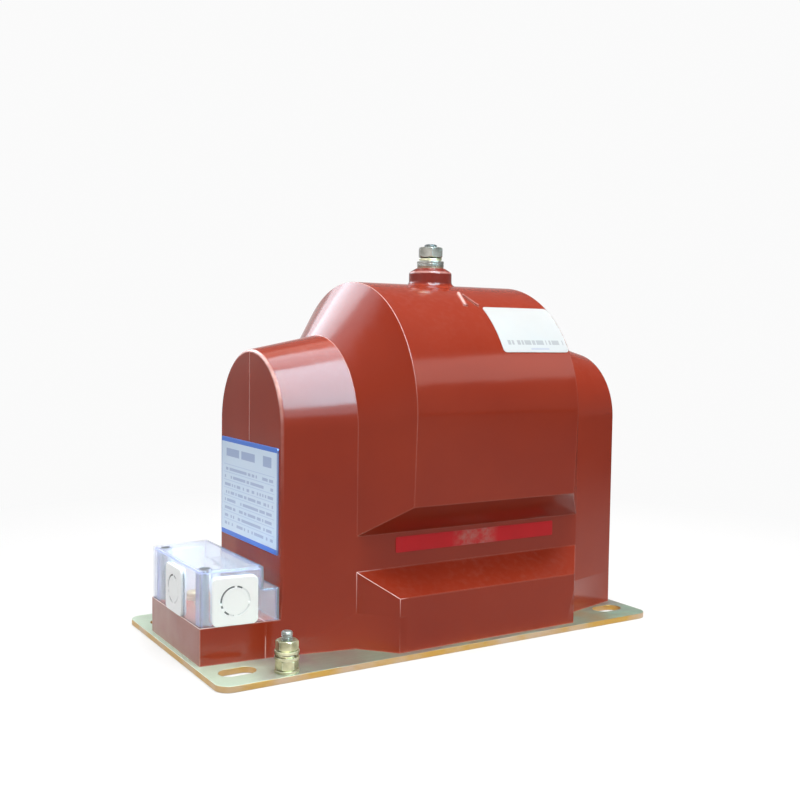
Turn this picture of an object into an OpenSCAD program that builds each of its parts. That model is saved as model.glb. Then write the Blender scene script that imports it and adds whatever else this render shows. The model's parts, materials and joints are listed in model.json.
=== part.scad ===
// Voltage transformer, cast resin block type, single high voltage terminal
// X runs along the length with the terminal box at minus X, Y is the width, Z is up
// The origin is the middle of the underside of the base plate, all sizes in mm

/* [Base plate] */
// Length of the steel base plate
plate_l = 290; // [240:1:360]
// Width of the steel base plate
plate_w = 148; // [120:1:200]
// Thickness of the base plate
plate_t = 3.5; // [3:0.5:8]
// Corner radius of the base plate
plate_corner_r = 8; // [2:0.5:12]
// Distance of the middle of a fixing slot from the end of the plate
slot_inset_x = 17.5; // [14:0.5:20]
// Distance of the middle of a fixing slot from the side of the plate
slot_inset_y = 20; // [16:0.5:24]
// Width of a fixing slot
slot_w = 12; // [8:0.5:14]
// Whole length of a fixing slot
slot_l = 20; // [15:0.5:24]

/* [Resin body ends] */
// Middle of the coil block along X
block_x = 23.2; // [15:0.1:30]
// Height of the axis of the low end arches
low_axis_z = 125.5; // [110:0.5:140]
// Left end face of the body
left_end_x = -98; // [-104:0.5:-90]
// Half width of the left end face
left_end_r = 42.5; // [36:0.5:48]
// Right end face of the body
right_end_x = 141; // [130:0.5:144]
// Half width of the right end face
right_end_r = 41; // [34:0.5:48]
// Half width of the low part beside the coil block
low_r = 51; // [46:0.5:58]

/* [Coil block] */
// Half length of the coil block where it has its full width
block_half_l = 56.7; // [48:0.1:62]
// Length of each slanted shoulder of the coil block
shoulder_l = 22.5; // [12:0.5:30]
// Radius of the coil block arch
block_r = 76; // [70:0.5:84]
// Height of the axis of the coil block arch
block_axis_z = 132.5; // [124:0.5:140]
// Draft of each side of the coil block from the arch axis down to the lower edge
block_draft = 2.2; // [0:0.1:6]
// Height of the lower front edge of the coil block
block_edge_z = 84; // [74:0.5:96]
// Height of the top of the side recess at its back
recess_top_z = 66.5; // [58:0.5:72]

/* [Lower ledge] */
// Half width of the ledge
ledge_half_w = 69.8; // [60:0.1:73]
// Height of the front edge of the ledge
ledge_edge_z = 33.7; // [24:0.1:44]
// Height of the ledge where it meets the recess
ledge_back_z = 46.5; // [36:0.5:56]
// Length of each slanted end of the ledge
ledge_end_l = 16.9; // [8:0.1:24]

/* [Terminal block] */
// Left end of the terminal block
tblock_end_x = -142; // [-144:0.5:-134]
// Half width of the terminal block at its left end
tblock_end_half_w = 38; // [34:0.5:42]
// Height of the top of the terminal block
tblock_top_z = 23.6; // [19:0.1:30]

/* [High voltage terminal] */
// Radius of the resin boss
boss_r = 13.3; // [12:0.1:16]
// Height of the shoulder of the resin boss over the top of the coil block
boss_h = 8; // [4:0.5:16]
// Radius of the top of the resin boss
boss_top_r = 9; // [8.8:0.1:11]
// Height of the tapered top of the resin boss
boss_taper_h = 2.3; // [1.5:0.1:4]
// Thickness of the flange of the terminal insert
hv_flange_t = 1.2; // [0.8:0.1:2]
// Radius of the flange of the terminal insert
hv_flange_r = 8.5; // [7:0.1:8.7]
// Radius of the body of the terminal insert
hv_insert_r = 6.5; // [5.5:0.1:7.5]
// Depth of the terminal insert under its contact face
hv_insert_depth = 17; // [12:0.5:20]
// Thread diameter of the terminal stud
hv_thread_d = 8; // [6:1:8]
// Pitch of the thread of the terminal stud
hv_thread_pitch = 1.25; // [1:0.05:1.25]
// Height of the terminal stud over the contact face
hv_stud_h = 14; // [13.5:0.5:18]
// Depth that the stud goes into the insert
hv_stud_depth = 12; // [8:0.5:12]
// Thickness of a flat washer of the terminal
hv_washer_t = 1.6; // [1.2:0.1:1.8]
// Gap kept between the two flat washers for the cable lug
hv_lug_gap = 0.1; // [0.05:0.05:0.4]
// Outer radius of a flat washer of the terminal
hv_washer_r = 8.3; // [7:0.1:8.4]
// Thickness of the spring washer of the terminal
hv_spring_t = 2.2; // [1.6:0.1:2.4]
// Width of the split of a spring washer
split_gap_w = 1.4; // [0.8:0.1:2]
// Outer radius of the spring washer of the terminal
hv_spring_r = 7; // [6.2:0.1:7.4]
// Height of the nut of the terminal
hv_nut_h = 6.5; // [5:0.1:6.8]
// Width across the flats of the terminal nut
hv_nut_af = 14; // [12:0.5:14]

/* [Earth terminal] */
// Distance of the earth stud from the left end of the plate
earth_from_end = 39.5; // [34:0.5:42]
// Distance of the earth stud from the front edge of the plate
earth_from_edge = 7.5; // [7:0.5:10]
// Thread diameter of the earth stud
earth_thread_d = 6; // [5:1:6]
// Pitch of the thread of the earth stud
earth_thread_pitch = 1; // [0.8:0.05:1]
// Radius of the pressed foot of the earth stud
earth_foot_r = 4.5; // [4:0.1:6]
// Thickness of the pressed foot of the earth stud
earth_foot_t = 1.6; // [1:0.1:2]
// Height of the earth stud over its upper nut
earth_stud_free_h = 4.7; // [2:0.1:8]
// Thickness of an earth washer
earth_washer_t = 1.6; // [1.2:0.1:1.8]
// Outer radius of an earth washer
earth_washer_r = 6.5; // [5.8:0.1:7]
// Thickness of the earth spring washer
earth_spring_t = 1.6; // [1.2:0.1:1.8]
// Outer radius of the earth spring washer
earth_spring_r = 5.6; // [5:0.1:6]
// Height of an earth nut
earth_nut_h = 5.2; // [4:0.1:5.4]
// Width across the flats of an earth nut
earth_nut_af = 10.6; // [9:0.1:11]

/* [Terminal cover] */
// Thickness of the wall of the clear cover
cover_wall = 1.8; // [1.5:0.1:2.4]
// Inset of the cover from the edge of the terminal block
cover_inset = 0.4; // [0.2:0.1:1.2]
// Right end of the tall part of the cover
cover_step_x = -107; // [-110:0.5:-105]
// Gap between the cover and the end face of the body
cover_gap = 0.3; // [0.2:0.1:1]
// Height of the top of the tall part of the cover
cover_top_z = 53.5; // [50:0.5:60]
// Height of the top of the low step of the cover
cover_low_z = 41.5; // [36:0.5:45]
// Width of a cable entry plate
entry_w = 25; // [23:0.5:26]
// Height of a cable entry plate
entry_h = 25.8; // [23:0.1:26.5]
// Corner radius of the flanges of a cable entry plate
entry_corner_r = 3; // [1:0.5:3.5]
// Thickness of each flange of a cable entry plate
entry_flange_t = 1.1; // [0.8:0.1:1.4]
// Lap of a cable entry plate over the wall on each side
entry_lap = 1.6; // [1:0.1:2.5]
// Gap between a cable entry plate and the wall
entry_gap = 0.1; // [0.05:0.05:0.3]
// Middle of the front and back cable entry plates along X
entry_x = -123; // [-124.5:0.5:-121.5]
// Radius of the knock out ring of a cable entry plate
entry_ring_r = 7.7; // [6:0.1:9]
// Depth of the knock out ring
entry_ring_depth = 0.5; // [0.3:0.1:0.7]
// Width of the knock out ring
entry_ring_w = 0.9; // [0.6:0.1:1.2]
// Distance of the cover screws from the outside of the left wall
post_inset_x = 5.2; // [4.8:0.1:6]
// Distance of the cover screws from the middle
post_y = 31; // [28:0.5:32]
// Radius of the screw posts of the cover
post_r = 4; // [3.5:0.1:4.3]
// Thread diameter of the cover screws
cover_screw_d = 3; // [2.5:0.5:4]
// Radius of the head of a cover screw
cover_head_r = 2.8; // [2.5:0.1:3.4]
// Height of the head of a cover screw
cover_head_h = 2; // [1.5:0.1:2.4]
// Depth that a cover screw goes into its insert
cover_screw_depth = 7; // [5:0.5:8]
// Radius of a cover screw insert
cover_insert_r = 2.6; // [2.3:0.1:3.5]
// Height of a cover screw insert
cover_insert_h = 9; // [8.5:0.5:12]

/* [Terminals] */
// Number of the secondary terminals
terminal_count = 4; // [2:1:5]
// Distance between the secondary terminals
terminal_pitch = 14; // [13.4:0.2:15]
// Position of the row of terminals along X
terminal_x = -122; // [-124:0.5:-119]
// Radius of a terminal insert
terminal_insert_r = 4.5; // [4:0.1:5]
// Height of a terminal insert
terminal_insert_h = 10; // [9:0.5:11]
// Amount that a terminal insert stands proud of the block
terminal_proud = 1; // [0.5:0.1:2]
// Thread diameter of a terminal screw
terminal_screw_d = 5; // [4:0.5:5]
// Depth that a terminal screw goes into its insert
terminal_screw_depth = 7; // [5:0.5:7.5]
// Radius of a terminal washer
terminal_washer_r = 5; // [4.5:0.1:5.6]
// Thickness of a terminal washer
terminal_washer_t = 1; // [0.6:0.1:1.4]
// Radius of the head of a terminal screw
terminal_head_r = 4.4; // [4:0.1:5]
// Height of the head of a terminal screw
terminal_head_h = 3; // [2.4:0.1:3.4]
// Width of the driver slot of a screw
driver_slot_w = 1; // [0.8:0.1:1.2]
// Depth of the driver slot of a screw
driver_slot_depth = 1.2; // [0.8:0.1:1.4]

/* [Plates and labels] */
// Width of the rating plate on the left end face
rating_w = 79; // [70:0.5:80]
// Height of the rating plate
rating_h = 58; // [50:0.5:64]
// Height of the lower edge of the rating plate
rating_z = 57.8; // [55:0.1:62]
// Thickness of the rating plate
rating_t = 0.8; // [0.5:0.1:1.2]
// Thickness of the arch label and of the recess strip
label_t = 0.3; // [0.3:0.1:0.6]
// Left edge of the arch label
arch_label_x = 30.7; // [26:0.1:34]
// Length of the arch label
arch_label_l = 48.7; // [40:0.1:49]
// Distance round the arch from its top to the upper edge of the arch label
arch_label_drop = 47.1; // [40:0.1:55]
// Height of the arch label round the arch
arch_label_h = 35.1; // [25:0.1:45]
// Left end of the recess strip
strip_x = -31; // [-36:0.5:-28]
// Length of the recess strip
strip_l = 114; // [100:0.5:116]
// Lower edge of the recess strip
strip_z = 54.8; // [50:0.1:56]
// Height of the recess strip
strip_h = 9; // [7:0.1:10]

/* [Core and windings] */
// Half length of the wound core
core_half_l = 100; // [90:0.5:104]
// Lower face of the core
core_bottom_z = 16; // [14.5:0.5:20]
// Drop of the coil axis under the axis of the coil block arch
coil_drop = 0.5; // [0:0.1:3]
// Thickness of the limbs of the core
core_build = 28; // [22:0.5:30]
// Depth of the core across the body
core_depth = 50; // [40:0.5:52]
// Outer corner radius of the core
core_corner_r = 10; // [6:0.5:14]
// Gap between the two cut faces of the core
core_cut_gap = 0.1; // [0.05:0.05:0.3]
// Thickness of the band round the core
band_t = 0.8; // [0.5:0.1:1]
// Width of the band round the core
band_w = 19; // [13:0.5:25]
// Outer radius of the winding former
former_r = 31; // [30.5:0.1:32]
// Half length of the winding former
former_half_l = 66; // [62:0.5:70]
// Outer radius of the secondary winding
secondary_r = 37; // [34:0.5:38]
// Half length of the secondary winding
secondary_half_l = 56; // [50:0.5:58]
// Outer radius of the insulation sleeve
sleeve_r = 41; // [39:0.5:43]
// Half length of the insulation sleeve
sleeve_half_l = 56; // [50:0.5:58]
// Thickness of the resin round the primary winding
primary_cover = 12; // [10:0.5:18]
// Half length of the primary winding at the sleeve
primary_inner_half_l = 46; // [40:0.5:50]
// Half length of the primary winding at its outside
primary_outer_half_l = 36; // [28:0.5:40]
// Gap between the resin and the pieces cast into it
embed_gap = 0.1; // [0.05:0.05:0.2]
// Radius of a lead wire
lead_r = 1.2; // [0.8:0.1:1.4]
// Distance of the outer leads from the left end face where they run down
lead_drop_x = 10; // [9:0.5:11]
// Distance kept between two leads on one side, along X and at the winding
lead_step_x = 6; // [4:0.5:6.5]
// Height of the outer leads where they run to the terminals
lead_run_z = 11; // [10:0.5:12]
// Distance kept between the outer and the inner leads in height
lead_step_z = 3.5; // [3:0.5:4]
// Position of the earth strap of the core along X
strap_x = 95; // [60:1:105]
// Width of the earth strap of the core
strap_w = 10; // [6:0.5:15]
// Thickness of the earth strap of the core
strap_t = 0.6; // [0.4:0.1:1]

/* [Plate screws] */
// Left pair of plate screws along X
plate_screw_left_x = -75; // [-80:0.5:-70]
// Right pair of plate screws along X
plate_screw_right_x = 120; // [112:0.5:126]
// Distance of the plate screws from the middle
plate_screw_y = 27; // [22:0.5:30]
// Thread diameter of the plate screws
plate_screw_d = 6; // [5:0.5:6]
// Radius of the countersunk head of a plate screw
plate_head_r = 5.8; // [5.4:0.1:6.2]
// Height of the countersunk head of a plate screw
plate_head_h = 2.8; // [2.4:0.1:2.9]
// Depth that a plate screw goes into its insert
plate_screw_depth = 7; // [5:0.5:7.5]
// Radius of a plate screw insert
plate_insert_r = 5; // [4.5:0.1:6]
// Height of a plate screw insert
plate_insert_h = 9; // [8:0.5:9.5]

/* [Fits] */
// Clearance of a bolt or stud in a plain hole, on the radius
bolt_clear = 0.25; // [0.1:0.05:0.5]
// Clearance between a thread and its tapped hole, on the radius
thread_clear = 0.05; // [0.02:0.01:0.1]

/* [Hidden] */
$fn = 72;
over = 0.5;
shoulder_fn = 96;
shoulder_tuck = 0.05;
slot_spacing_x = plate_l - 2 * slot_inset_x;
slot_spacing_y = plate_w - 2 * slot_inset_y;
earth_x = earth_from_end - plate_l / 2;
earth_y = earth_from_edge - plate_w / 2;
coil_axis_z = block_axis_z - coil_drop;
core_top_z = coil_axis_z + core_build / 2;
primary_r = block_r - primary_cover;
boss_shoulder_z = block_axis_z + block_r + boss_h;
boss_top_z = boss_shoulder_z + boss_taper_h;
hv_contact_z = boss_top_z + hv_flange_t;
pitch_line = 0.325;
stud_run = 0.2;
hv_core_r = hv_thread_d / 2 - pitch_line * hv_thread_pitch;
earth_core_r = earth_thread_d / 2 - pitch_line * earth_thread_pitch;
hv_stud_top_z = hv_contact_z + hv_stud_h;
low_half_l = block_half_l + shoulder_l;
low_left_x = block_x - low_half_l;
low_right_x = block_x + low_half_l;
block_left_x = block_x - block_half_l;
block_right_x = block_x + block_half_l;
skirt_drop = 6;
block_skirt_z = recess_top_z - skirt_drop;
block_draft_slope = block_draft / (block_axis_z - block_edge_z);
block_skirt_r = block_r - block_draft_slope * (block_axis_z - block_skirt_z);
block_edge_r = block_r - block_draft;
underside_slope = (block_edge_z - recess_top_z) / (block_edge_r - low_r);
cut_out = 60;
ledge_left_x = low_left_x + ledge_end_l;
ledge_right_x = low_right_x - ledge_end_l;
tblock_slope = (left_end_r - tblock_end_half_w) / (left_end_x - tblock_end_x);
cover_end_x = tblock_end_x + cover_inset;
cover_right_x = left_end_x - cover_gap;
post_x = cover_end_x + post_inset_x;
entry_front_half = tblock_end_half_w + tblock_slope * (entry_x - tblock_end_x) - cover_inset;
entry_tilt = atan(tblock_slope);
earth_nut1_z = plate_t + earth_washer_t;
earth_washer2_z = earth_nut1_z + earth_nut_h;
earth_spring_z = earth_washer2_z + earth_washer_t;
earth_washer3_z = earth_spring_z + earth_spring_t;
earth_nut2_z = earth_washer3_z + earth_washer_t;
earth_nut_top_z = earth_nut2_z + earth_nut_h;
earth_stud_top_z = earth_nut_top_z + earth_stud_free_h;
hv_spring_z = hv_contact_z + 2 * hv_washer_t + hv_lug_gap;
hv_nut_z = hv_spring_z + hv_spring_t;
hv_nut_top_z = hv_nut_z + hv_nut_h;
hv_insert_bottom_z = hv_contact_z - hv_insert_depth;
terminal_top_z = tblock_top_z + terminal_proud;
terminal_head_z = terminal_top_z + terminal_washer_t;
terminal_row_l = (terminal_count - 1) * terminal_pitch;
core_mid_z = (core_bottom_z + core_top_z) / 2;
core_l = 2 * core_half_l;
core_h = core_top_z - core_bottom_z;
lead_wall = 0.3;
lead_side_y = (former_r + secondary_r) / 2 - lead_wall;
window_cut = 1.5;
bend_proud = 0.04;
wire_fn = 24;
nut_crown = 0.06;
nut_face = 0.49;
nut_crown_slope = 1.6;
head_taper = 0.86;
stud_chamfer = 0.1;
hv_nut_turn = 3;
hv_split_turn = 200;
earth_nut1_turn = 42;
earth_nut2_turn = 24;
earth_split_turn = 250;
terminal_turn = 35;

// Lays a Y Z outline from x0 to x1
module along_x(x0, x1) {
    translate([x0, 0, 0]) rotate([90, 0, 90]) linear_extrude(x1 - x0) children();
}

// Rod along X
module rod_x(x0, x1, z, r) {
    translate([x0, 0, z]) rotate([0, 90, 0]) cylinder(h = x1 - x0, r = r);
}

// Cone along X
module cone_x(x0, x1, z, r0, r1) {
    translate([x0, 0, z]) rotate([0, 90, 0]) cylinder(h = x1 - x0, r1 = r0, r2 = r1);
}

// Rounded rectangle
module rounded(w, h, r) {
    union() {
        translate([-w / 2 + r, -h / 2]) square([w - 2 * r, h]);
        translate([-w / 2, -h / 2 + r]) square([w, h - 2 * r]);
        for (sx = [-1, 1]) for (sy = [-1, 1])
            translate([sx * (w / 2 - r), sy * (h / 2 - r)]) circle(r);
    }
}

// Slot with round ends
module slot_outline(l, w) {
    union() {
        square([l - w, w], center = true);
        for (s = [-1, 1]) translate([s * (l - w) / 2, 0]) circle(w / 2);
    }
}

// Hexagon prism with the given width across its flats
module hex_prism(af, h) {
    linear_extrude(h)
        polygon([for (k = [0:5]) [af / sqrt(3) * cos(60 * k + 30), af / sqrt(3) * sin(60 * k + 30)]]);
}

// Hexagon nut with turned corners and a hole
module nut(af, h, bore_r) {
    crown = af * nut_crown;
    face_r = af * nut_face;
    crown_r = face_r + crown * nut_crown_slope;
    difference() {
        intersection() {
            hex_prism(af, h);
            union() {
                cylinder(h = crown, r1 = face_r, r2 = crown_r);
                translate([0, 0, crown]) cylinder(h = h - 2 * crown, r = af);
                translate([0, 0, h - crown]) cylinder(h = crown, r1 = crown_r, r2 = face_r);
            }
        }
        translate([0, 0, -over]) cylinder(h = h + 2 * over, r = bore_r);
    }
}

// Flat washer
module washer(r, bore_r, t) {
    difference() {
        cylinder(h = t, r = r);
        translate([0, 0, -over]) cylinder(h = t + 2 * over, r = bore_r);
    }
}

// Spring washer with one split
module split_washer(r, bore_r, t) {
    difference() {
        washer(r, bore_r, t);
        translate([0, -split_gap_w / 2, -over]) cube([r + over, split_gap_w, t + 2 * over]);
    }
}

// Stud, at the pitch line of its thread up to its nut and at its full radius over it
module stud(bottom_z, nut_top_z, top_z, r, core_r) {
    chamfer = 2 * r * stud_chamfer;
    translate([0, 0, bottom_z]) cylinder(h = top_z - bottom_z - chamfer, r = core_r);
    translate([0, 0, nut_top_z + stud_run]) cylinder(h = top_z - nut_top_z - stud_run - chamfer, r = r);
    translate([0, 0, top_z - chamfer]) cylinder(h = chamfer, r1 = r, r2 = r - chamfer);
}

// Slotted round head with its shank below
module slotted_screw(head_r, head_h, shank_r, shank_l) {
    difference() {
        union() {
            translate([0, 0, head_h / 2]) cylinder(h = head_h / 2, r1 = head_r, r2 = head_r * head_taper);
            cylinder(h = head_h / 2, r = head_r);
            translate([0, 0, -shank_l]) cylinder(h = shank_l + head_h / 4, r = shank_r);
        }
        translate([-head_r - over, -driver_slot_w / 2, head_h - driver_slot_depth])
            cube([2 * (head_r + over), driver_slot_w, driver_slot_depth + over]);
    }
}

// Arched outline with drafted sides down to z0
module arch(r, axis_z, r0, z0) {
    union() {
        translate([0, axis_z]) circle(r);
        polygon([[-r, axis_z], [r, axis_z], [r0, z0], [-r0, z0]]);
    }
}

// Low part of the body with its two tapered ends
module low_part() {
    translate([0, 0, plate_t]) linear_extrude(low_axis_z - plate_t)
        polygon([[left_end_x, -left_end_r], [low_left_x, -low_r], [low_right_x, -low_r],
            [right_end_x, -right_end_r], [right_end_x, right_end_r], [low_right_x, low_r],
            [low_left_x, low_r], [left_end_x, left_end_r]]);
    cone_x(left_end_x, low_left_x, low_axis_z, left_end_r, low_r);
    rod_x(low_left_x, low_right_x, low_axis_z, low_r);
    cone_x(low_right_x, right_end_x, low_axis_z, low_r, right_end_r);
}

// Slanted shoulder between the low part and the coil block, drawn at the left
module shoulder() {
    hull() {
        along_x(low_left_x, low_left_x + shoulder_tuck)
            arch(low_r - shoulder_tuck, low_axis_z, low_r - shoulder_tuck, block_skirt_z, $fn = shoulder_fn);
        along_x(block_left_x, block_left_x + shoulder_tuck)
            arch(block_r - shoulder_tuck, block_axis_z, block_skirt_r - shoulder_tuck, block_skirt_z,
                $fn = shoulder_fn);
    }
}

// Space under the sloping underside of the coil block
module under_block() {
    for (s = [-1, 1])
        along_x(low_left_x - over, low_right_x + over)
            polygon([[s * low_r, recess_top_z],
                [s * (low_r + cut_out), recess_top_z + cut_out * underside_slope],
                [s * (low_r + cut_out), 0], [s * low_r, 0]]);
}

// Coil block with both shoulders
module coil_block() {
    difference() {
        union() {
            along_x(block_left_x, block_right_x) arch(block_r, block_axis_z, block_skirt_r, block_skirt_z);
            shoulder();
            translate([2 * block_x, 0, 0]) mirror([1, 0, 0]) shoulder();
        }
        under_block();
    }
}

// Ledge on both sides, below the recess
module ledge() {
    intersection() {
        translate([0, 0, plate_t]) linear_extrude(ledge_back_z)
            polygon([[low_left_x, -low_r], [ledge_left_x, -ledge_half_w], [ledge_right_x, -ledge_half_w],
                [low_right_x, -low_r], [low_right_x, low_r], [ledge_right_x, ledge_half_w],
                [ledge_left_x, ledge_half_w], [low_left_x, low_r]]);
        along_x(low_left_x, low_right_x)
            polygon([[-ledge_half_w, plate_t], [ledge_half_w, plate_t], [ledge_half_w, ledge_edge_z],
                [low_r, ledge_back_z], [-low_r, ledge_back_z], [-ledge_half_w, ledge_edge_z]]);
    }
}

// Plan of the terminal block drawn in by an inset, up to a given X
module tblock_plan(inset, x1) {
    x0 = tblock_end_x + inset;
    y0 = tblock_end_half_w + tblock_slope * inset - inset;
    y1 = tblock_end_half_w + tblock_slope * (x1 - tblock_end_x) - inset;
    polygon([[x0, -y0], [x1, -y1], [x1, y1], [x0, y0]]);
}

// Wire run through a list of points
module wire(points, r) {
    for (k = [0:len(points) - 2]) {
        d = points[k + 1] - points[k];
        flat = sqrt(d[0] * d[0] + d[1] * d[1]);
        translate(points[k]) rotate([0, atan2(flat, d[2]), atan2(d[1], d[0])])
            cylinder(h = norm(d), r = r, $fn = wire_fn);
    }
    for (k = [1:len(points) - 2]) translate(points[k]) sphere(r + bend_proud, $fn = wire_fn);
}

// Four wires from the secondary winding to the terminal inserts
module lead_set(r, start_x, end_z) {
    for (k = [0:terminal_count - 1]) {
        y = k * terminal_pitch - terminal_row_l / 2;
        side_y = (y < 0 ? -1 : 1) * lead_side_y;
        outer = abs(y) > terminal_pitch;
        drop_x = left_end_x + lead_drop_x + (outer ? 0 : lead_step_x);
        run_z = lead_run_z - (outer ? 0 : lead_step_z);
        top_z = coil_axis_z - (outer ? 0 : lead_step_x);
        wire([[start_x, side_y, top_z], [drop_x, side_y, top_z], [drop_x, side_y, run_z],
            [terminal_x, y, run_z], [terminal_x, y, end_z]], r);
    }
}

// Rounded frame of the core, grown by a given amount
module core_frame(grow, depth) {
    translate([block_x, depth / 2, core_mid_z]) rotate([90, 0, 0]) linear_extrude(depth)
        difference() {
            rounded(core_l + 2 * grow, core_h + 2 * grow, core_corner_r + grow);
            square([core_l - 2 * core_build - 2 * grow, core_h - 2 * core_build - 2 * grow], center = true);
        }
}

// Primary winding, grown by a given amount
module primary_shape(grow) {
    translate([block_x, 0, coil_axis_z]) rotate([0, 90, 0]) rotate_extrude()
        polygon([[sleeve_r - over, -primary_inner_half_l - grow],
            [primary_r + grow, -primary_outer_half_l - grow],
            [primary_r + grow, primary_outer_half_l + grow],
            [sleeve_r - over, primary_inner_half_l + grow]]);
}

// Everything that is cast into the body, grown by the embedding gap
module embedded_space() {
    core_frame(embed_gap, core_depth + 2 * embed_gap);
    translate([block_x, band_w / 2 + embed_gap, core_mid_z]) rotate([90, 0, 0])
        linear_extrude(band_w + 2 * embed_gap)
            difference() {
                rounded(core_l + 2 * (band_t + embed_gap), core_h + 2 * (band_t + embed_gap),
                    core_corner_r + band_t + embed_gap);
                square([core_l - 2 * core_build, core_h - 2 * core_build], center = true);
            }
    rod_x(block_x - former_half_l - embed_gap, block_x + former_half_l + embed_gap, coil_axis_z,
        former_r + embed_gap);
    rod_x(block_x - sleeve_half_l - embed_gap, block_x + sleeve_half_l + embed_gap, coil_axis_z,
        sleeve_r + embed_gap);
    primary_shape(embed_gap);
    translate([block_x, 0, coil_axis_z + primary_r - over])
        cylinder(h = hv_insert_bottom_z - coil_axis_z - primary_r + 2 * over, r = lead_r + embed_gap);
    lead_set(lead_r + embed_gap, block_x - secondary_half_l - embed_gap,
        terminal_top_z - terminal_insert_h + over);
    translate([block_x, 0, hv_insert_bottom_z - embed_gap])
        cylinder(h = hv_insert_depth, r = hv_insert_r + embed_gap);
    for (k = [0:terminal_count - 1])
        translate([terminal_x, k * terminal_pitch - terminal_row_l / 2,
            terminal_top_z - terminal_insert_h - embed_gap])
                cylinder(h = terminal_insert_h + over, r = terminal_insert_r + embed_gap);
    for (s = [-1, 1])
        translate([post_x, s * post_y, tblock_top_z - cover_insert_h - embed_gap])
            cylinder(h = cover_insert_h + over, r = cover_insert_r + embed_gap);
    for (x = [plate_screw_left_x, plate_screw_right_x]) for (s = [-1, 1])
        translate([x, s * plate_screw_y, plate_t - over])
            cylinder(h = plate_insert_h + embed_gap + over, r = plate_insert_r + embed_gap);
    translate([strap_x - strap_w / 2 - embed_gap, -strap_t / 2 - embed_gap, plate_t - over])
        cube([strap_w + 2 * embed_gap, strap_t + 2 * embed_gap, core_bottom_z - plate_t + 2 * over]);
}

module base_plate() {
    color([0.72, 0.72, 0.56]) difference() {
        linear_extrude(plate_t) difference() {
            rounded(plate_l, plate_w, plate_corner_r);
            for (sx = [-1, 1]) for (sy = [-1, 1])
                translate([sx * slot_spacing_x / 2, sy * slot_spacing_y / 2])
                    slot_outline(slot_l, slot_w);
        }
        translate([earth_x, earth_y, -over])
            cylinder(h = plate_t + 2 * over, r = earth_core_r + thread_clear);
        translate([earth_x, earth_y, -over])
            cylinder(h = earth_foot_t + over + thread_clear, r = earth_foot_r + thread_clear);
        for (x = [plate_screw_left_x, plate_screw_right_x]) for (s = [-1, 1])
            translate([x, s * plate_screw_y, 0]) {
                translate([0, 0, -over]) cylinder(h = plate_t + 2 * over, r = plate_screw_d / 2 + bolt_clear);
                cylinder(h = plate_head_h, r1 = plate_head_r, r2 = plate_screw_d / 2 + bolt_clear / 2);
                translate([0, 0, -over]) cylinder(h = over + thread_clear, r = plate_head_r);
            }
    }
}

module resin_body() {
    color([0.62, 0.22, 0.16]) difference() {
        union() {
            low_part();
            coil_block();
            ledge();
            translate([0, 0, plate_t]) linear_extrude(tblock_top_z - plate_t)
                tblock_plan(0, left_end_x + over);
            translate([block_x, 0, block_axis_z])
                cylinder(h = boss_shoulder_z - block_axis_z, r = boss_r);
            translate([block_x, 0, boss_shoulder_z])
                cylinder(h = boss_top_z - boss_shoulder_z, r1 = boss_r, r2 = boss_top_r);
        }
        embedded_space();
    }
}

module hv_insert() {
    color([0.80, 0.66, 0.36]) difference() {
        translate([block_x, 0, 0]) union() {
            translate([0, 0, hv_insert_bottom_z]) cylinder(h = hv_insert_depth, r = hv_insert_r);
            translate([0, 0, boss_top_z]) cylinder(h = hv_contact_z - boss_top_z, r = hv_flange_r);
        }
        translate([block_x, 0, hv_contact_z - hv_stud_depth - thread_clear])
            cylinder(h = hv_stud_depth + over, r = hv_core_r + thread_clear);
    }
}

module hv_stud() {
    color([0.70, 0.70, 0.68]) translate([block_x, 0, 0])
        stud(hv_contact_z - hv_stud_depth, hv_nut_top_z, hv_stud_top_z, hv_thread_d / 2, hv_core_r);
}

module hv_washers() {
    color([0.78, 0.78, 0.76]) for (k = [0, 1])
        translate([block_x, 0, hv_contact_z + k * (hv_washer_t + hv_lug_gap)])
            washer(hv_washer_r, hv_thread_d / 2 + bolt_clear, hv_washer_t);
}

module hv_spring_washer() {
    color([0.74, 0.70, 0.52]) translate([block_x, 0, hv_spring_z])
        rotate([0, 0, hv_split_turn]) split_washer(hv_spring_r, hv_thread_d / 2 + bolt_clear, hv_spring_t);
}

module hv_nut() {
    color([0.66, 0.67, 0.64]) translate([block_x, 0, hv_nut_z])
        rotate([0, 0, hv_nut_turn]) nut(hv_nut_af, hv_nut_h, hv_core_r + thread_clear);
}

module earth_stud() {
    color([0.74, 0.72, 0.50]) translate([earth_x, earth_y, 0]) {
        cylinder(h = earth_foot_t, r = earth_foot_r);
        stud(0, earth_nut_top_z, earth_stud_top_z, earth_thread_d / 2, earth_core_r);
    }
}

module earth_nuts() {
    color([0.76, 0.72, 0.46]) for (z = [earth_nut1_z, earth_nut2_z])
        translate([earth_x, earth_y, z]) rotate([0, 0, z == earth_nut1_z ? earth_nut1_turn : earth_nut2_turn])
            nut(earth_nut_af, earth_nut_h, earth_core_r + thread_clear);
}

module earth_washers() {
    color([0.80, 0.76, 0.52]) for (z = [plate_t, earth_washer2_z, earth_washer3_z])
        translate([earth_x, earth_y, z])
            washer(earth_washer_r, earth_thread_d / 2 + bolt_clear, earth_washer_t);
}

module earth_spring_washer() {
    color([0.70, 0.66, 0.44]) translate([earth_x, earth_y, earth_spring_z])
        rotate([0, 0, earth_split_turn])
            split_washer(earth_spring_r, earth_thread_d / 2 + bolt_clear, earth_spring_t);
}

// Outside of the clear cover drawn in by an inset from every face but the floor
module cover_hull_shape(inset, floor_z) {
    translate([0, 0, floor_z]) linear_extrude(cover_top_z - inset - floor_z)
        tblock_plan(cover_inset + inset, cover_step_x - inset);
    translate([0, 0, floor_z]) linear_extrude(cover_low_z - inset - floor_z)
        tblock_plan(cover_inset + inset, cover_right_x - inset);
}

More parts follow.
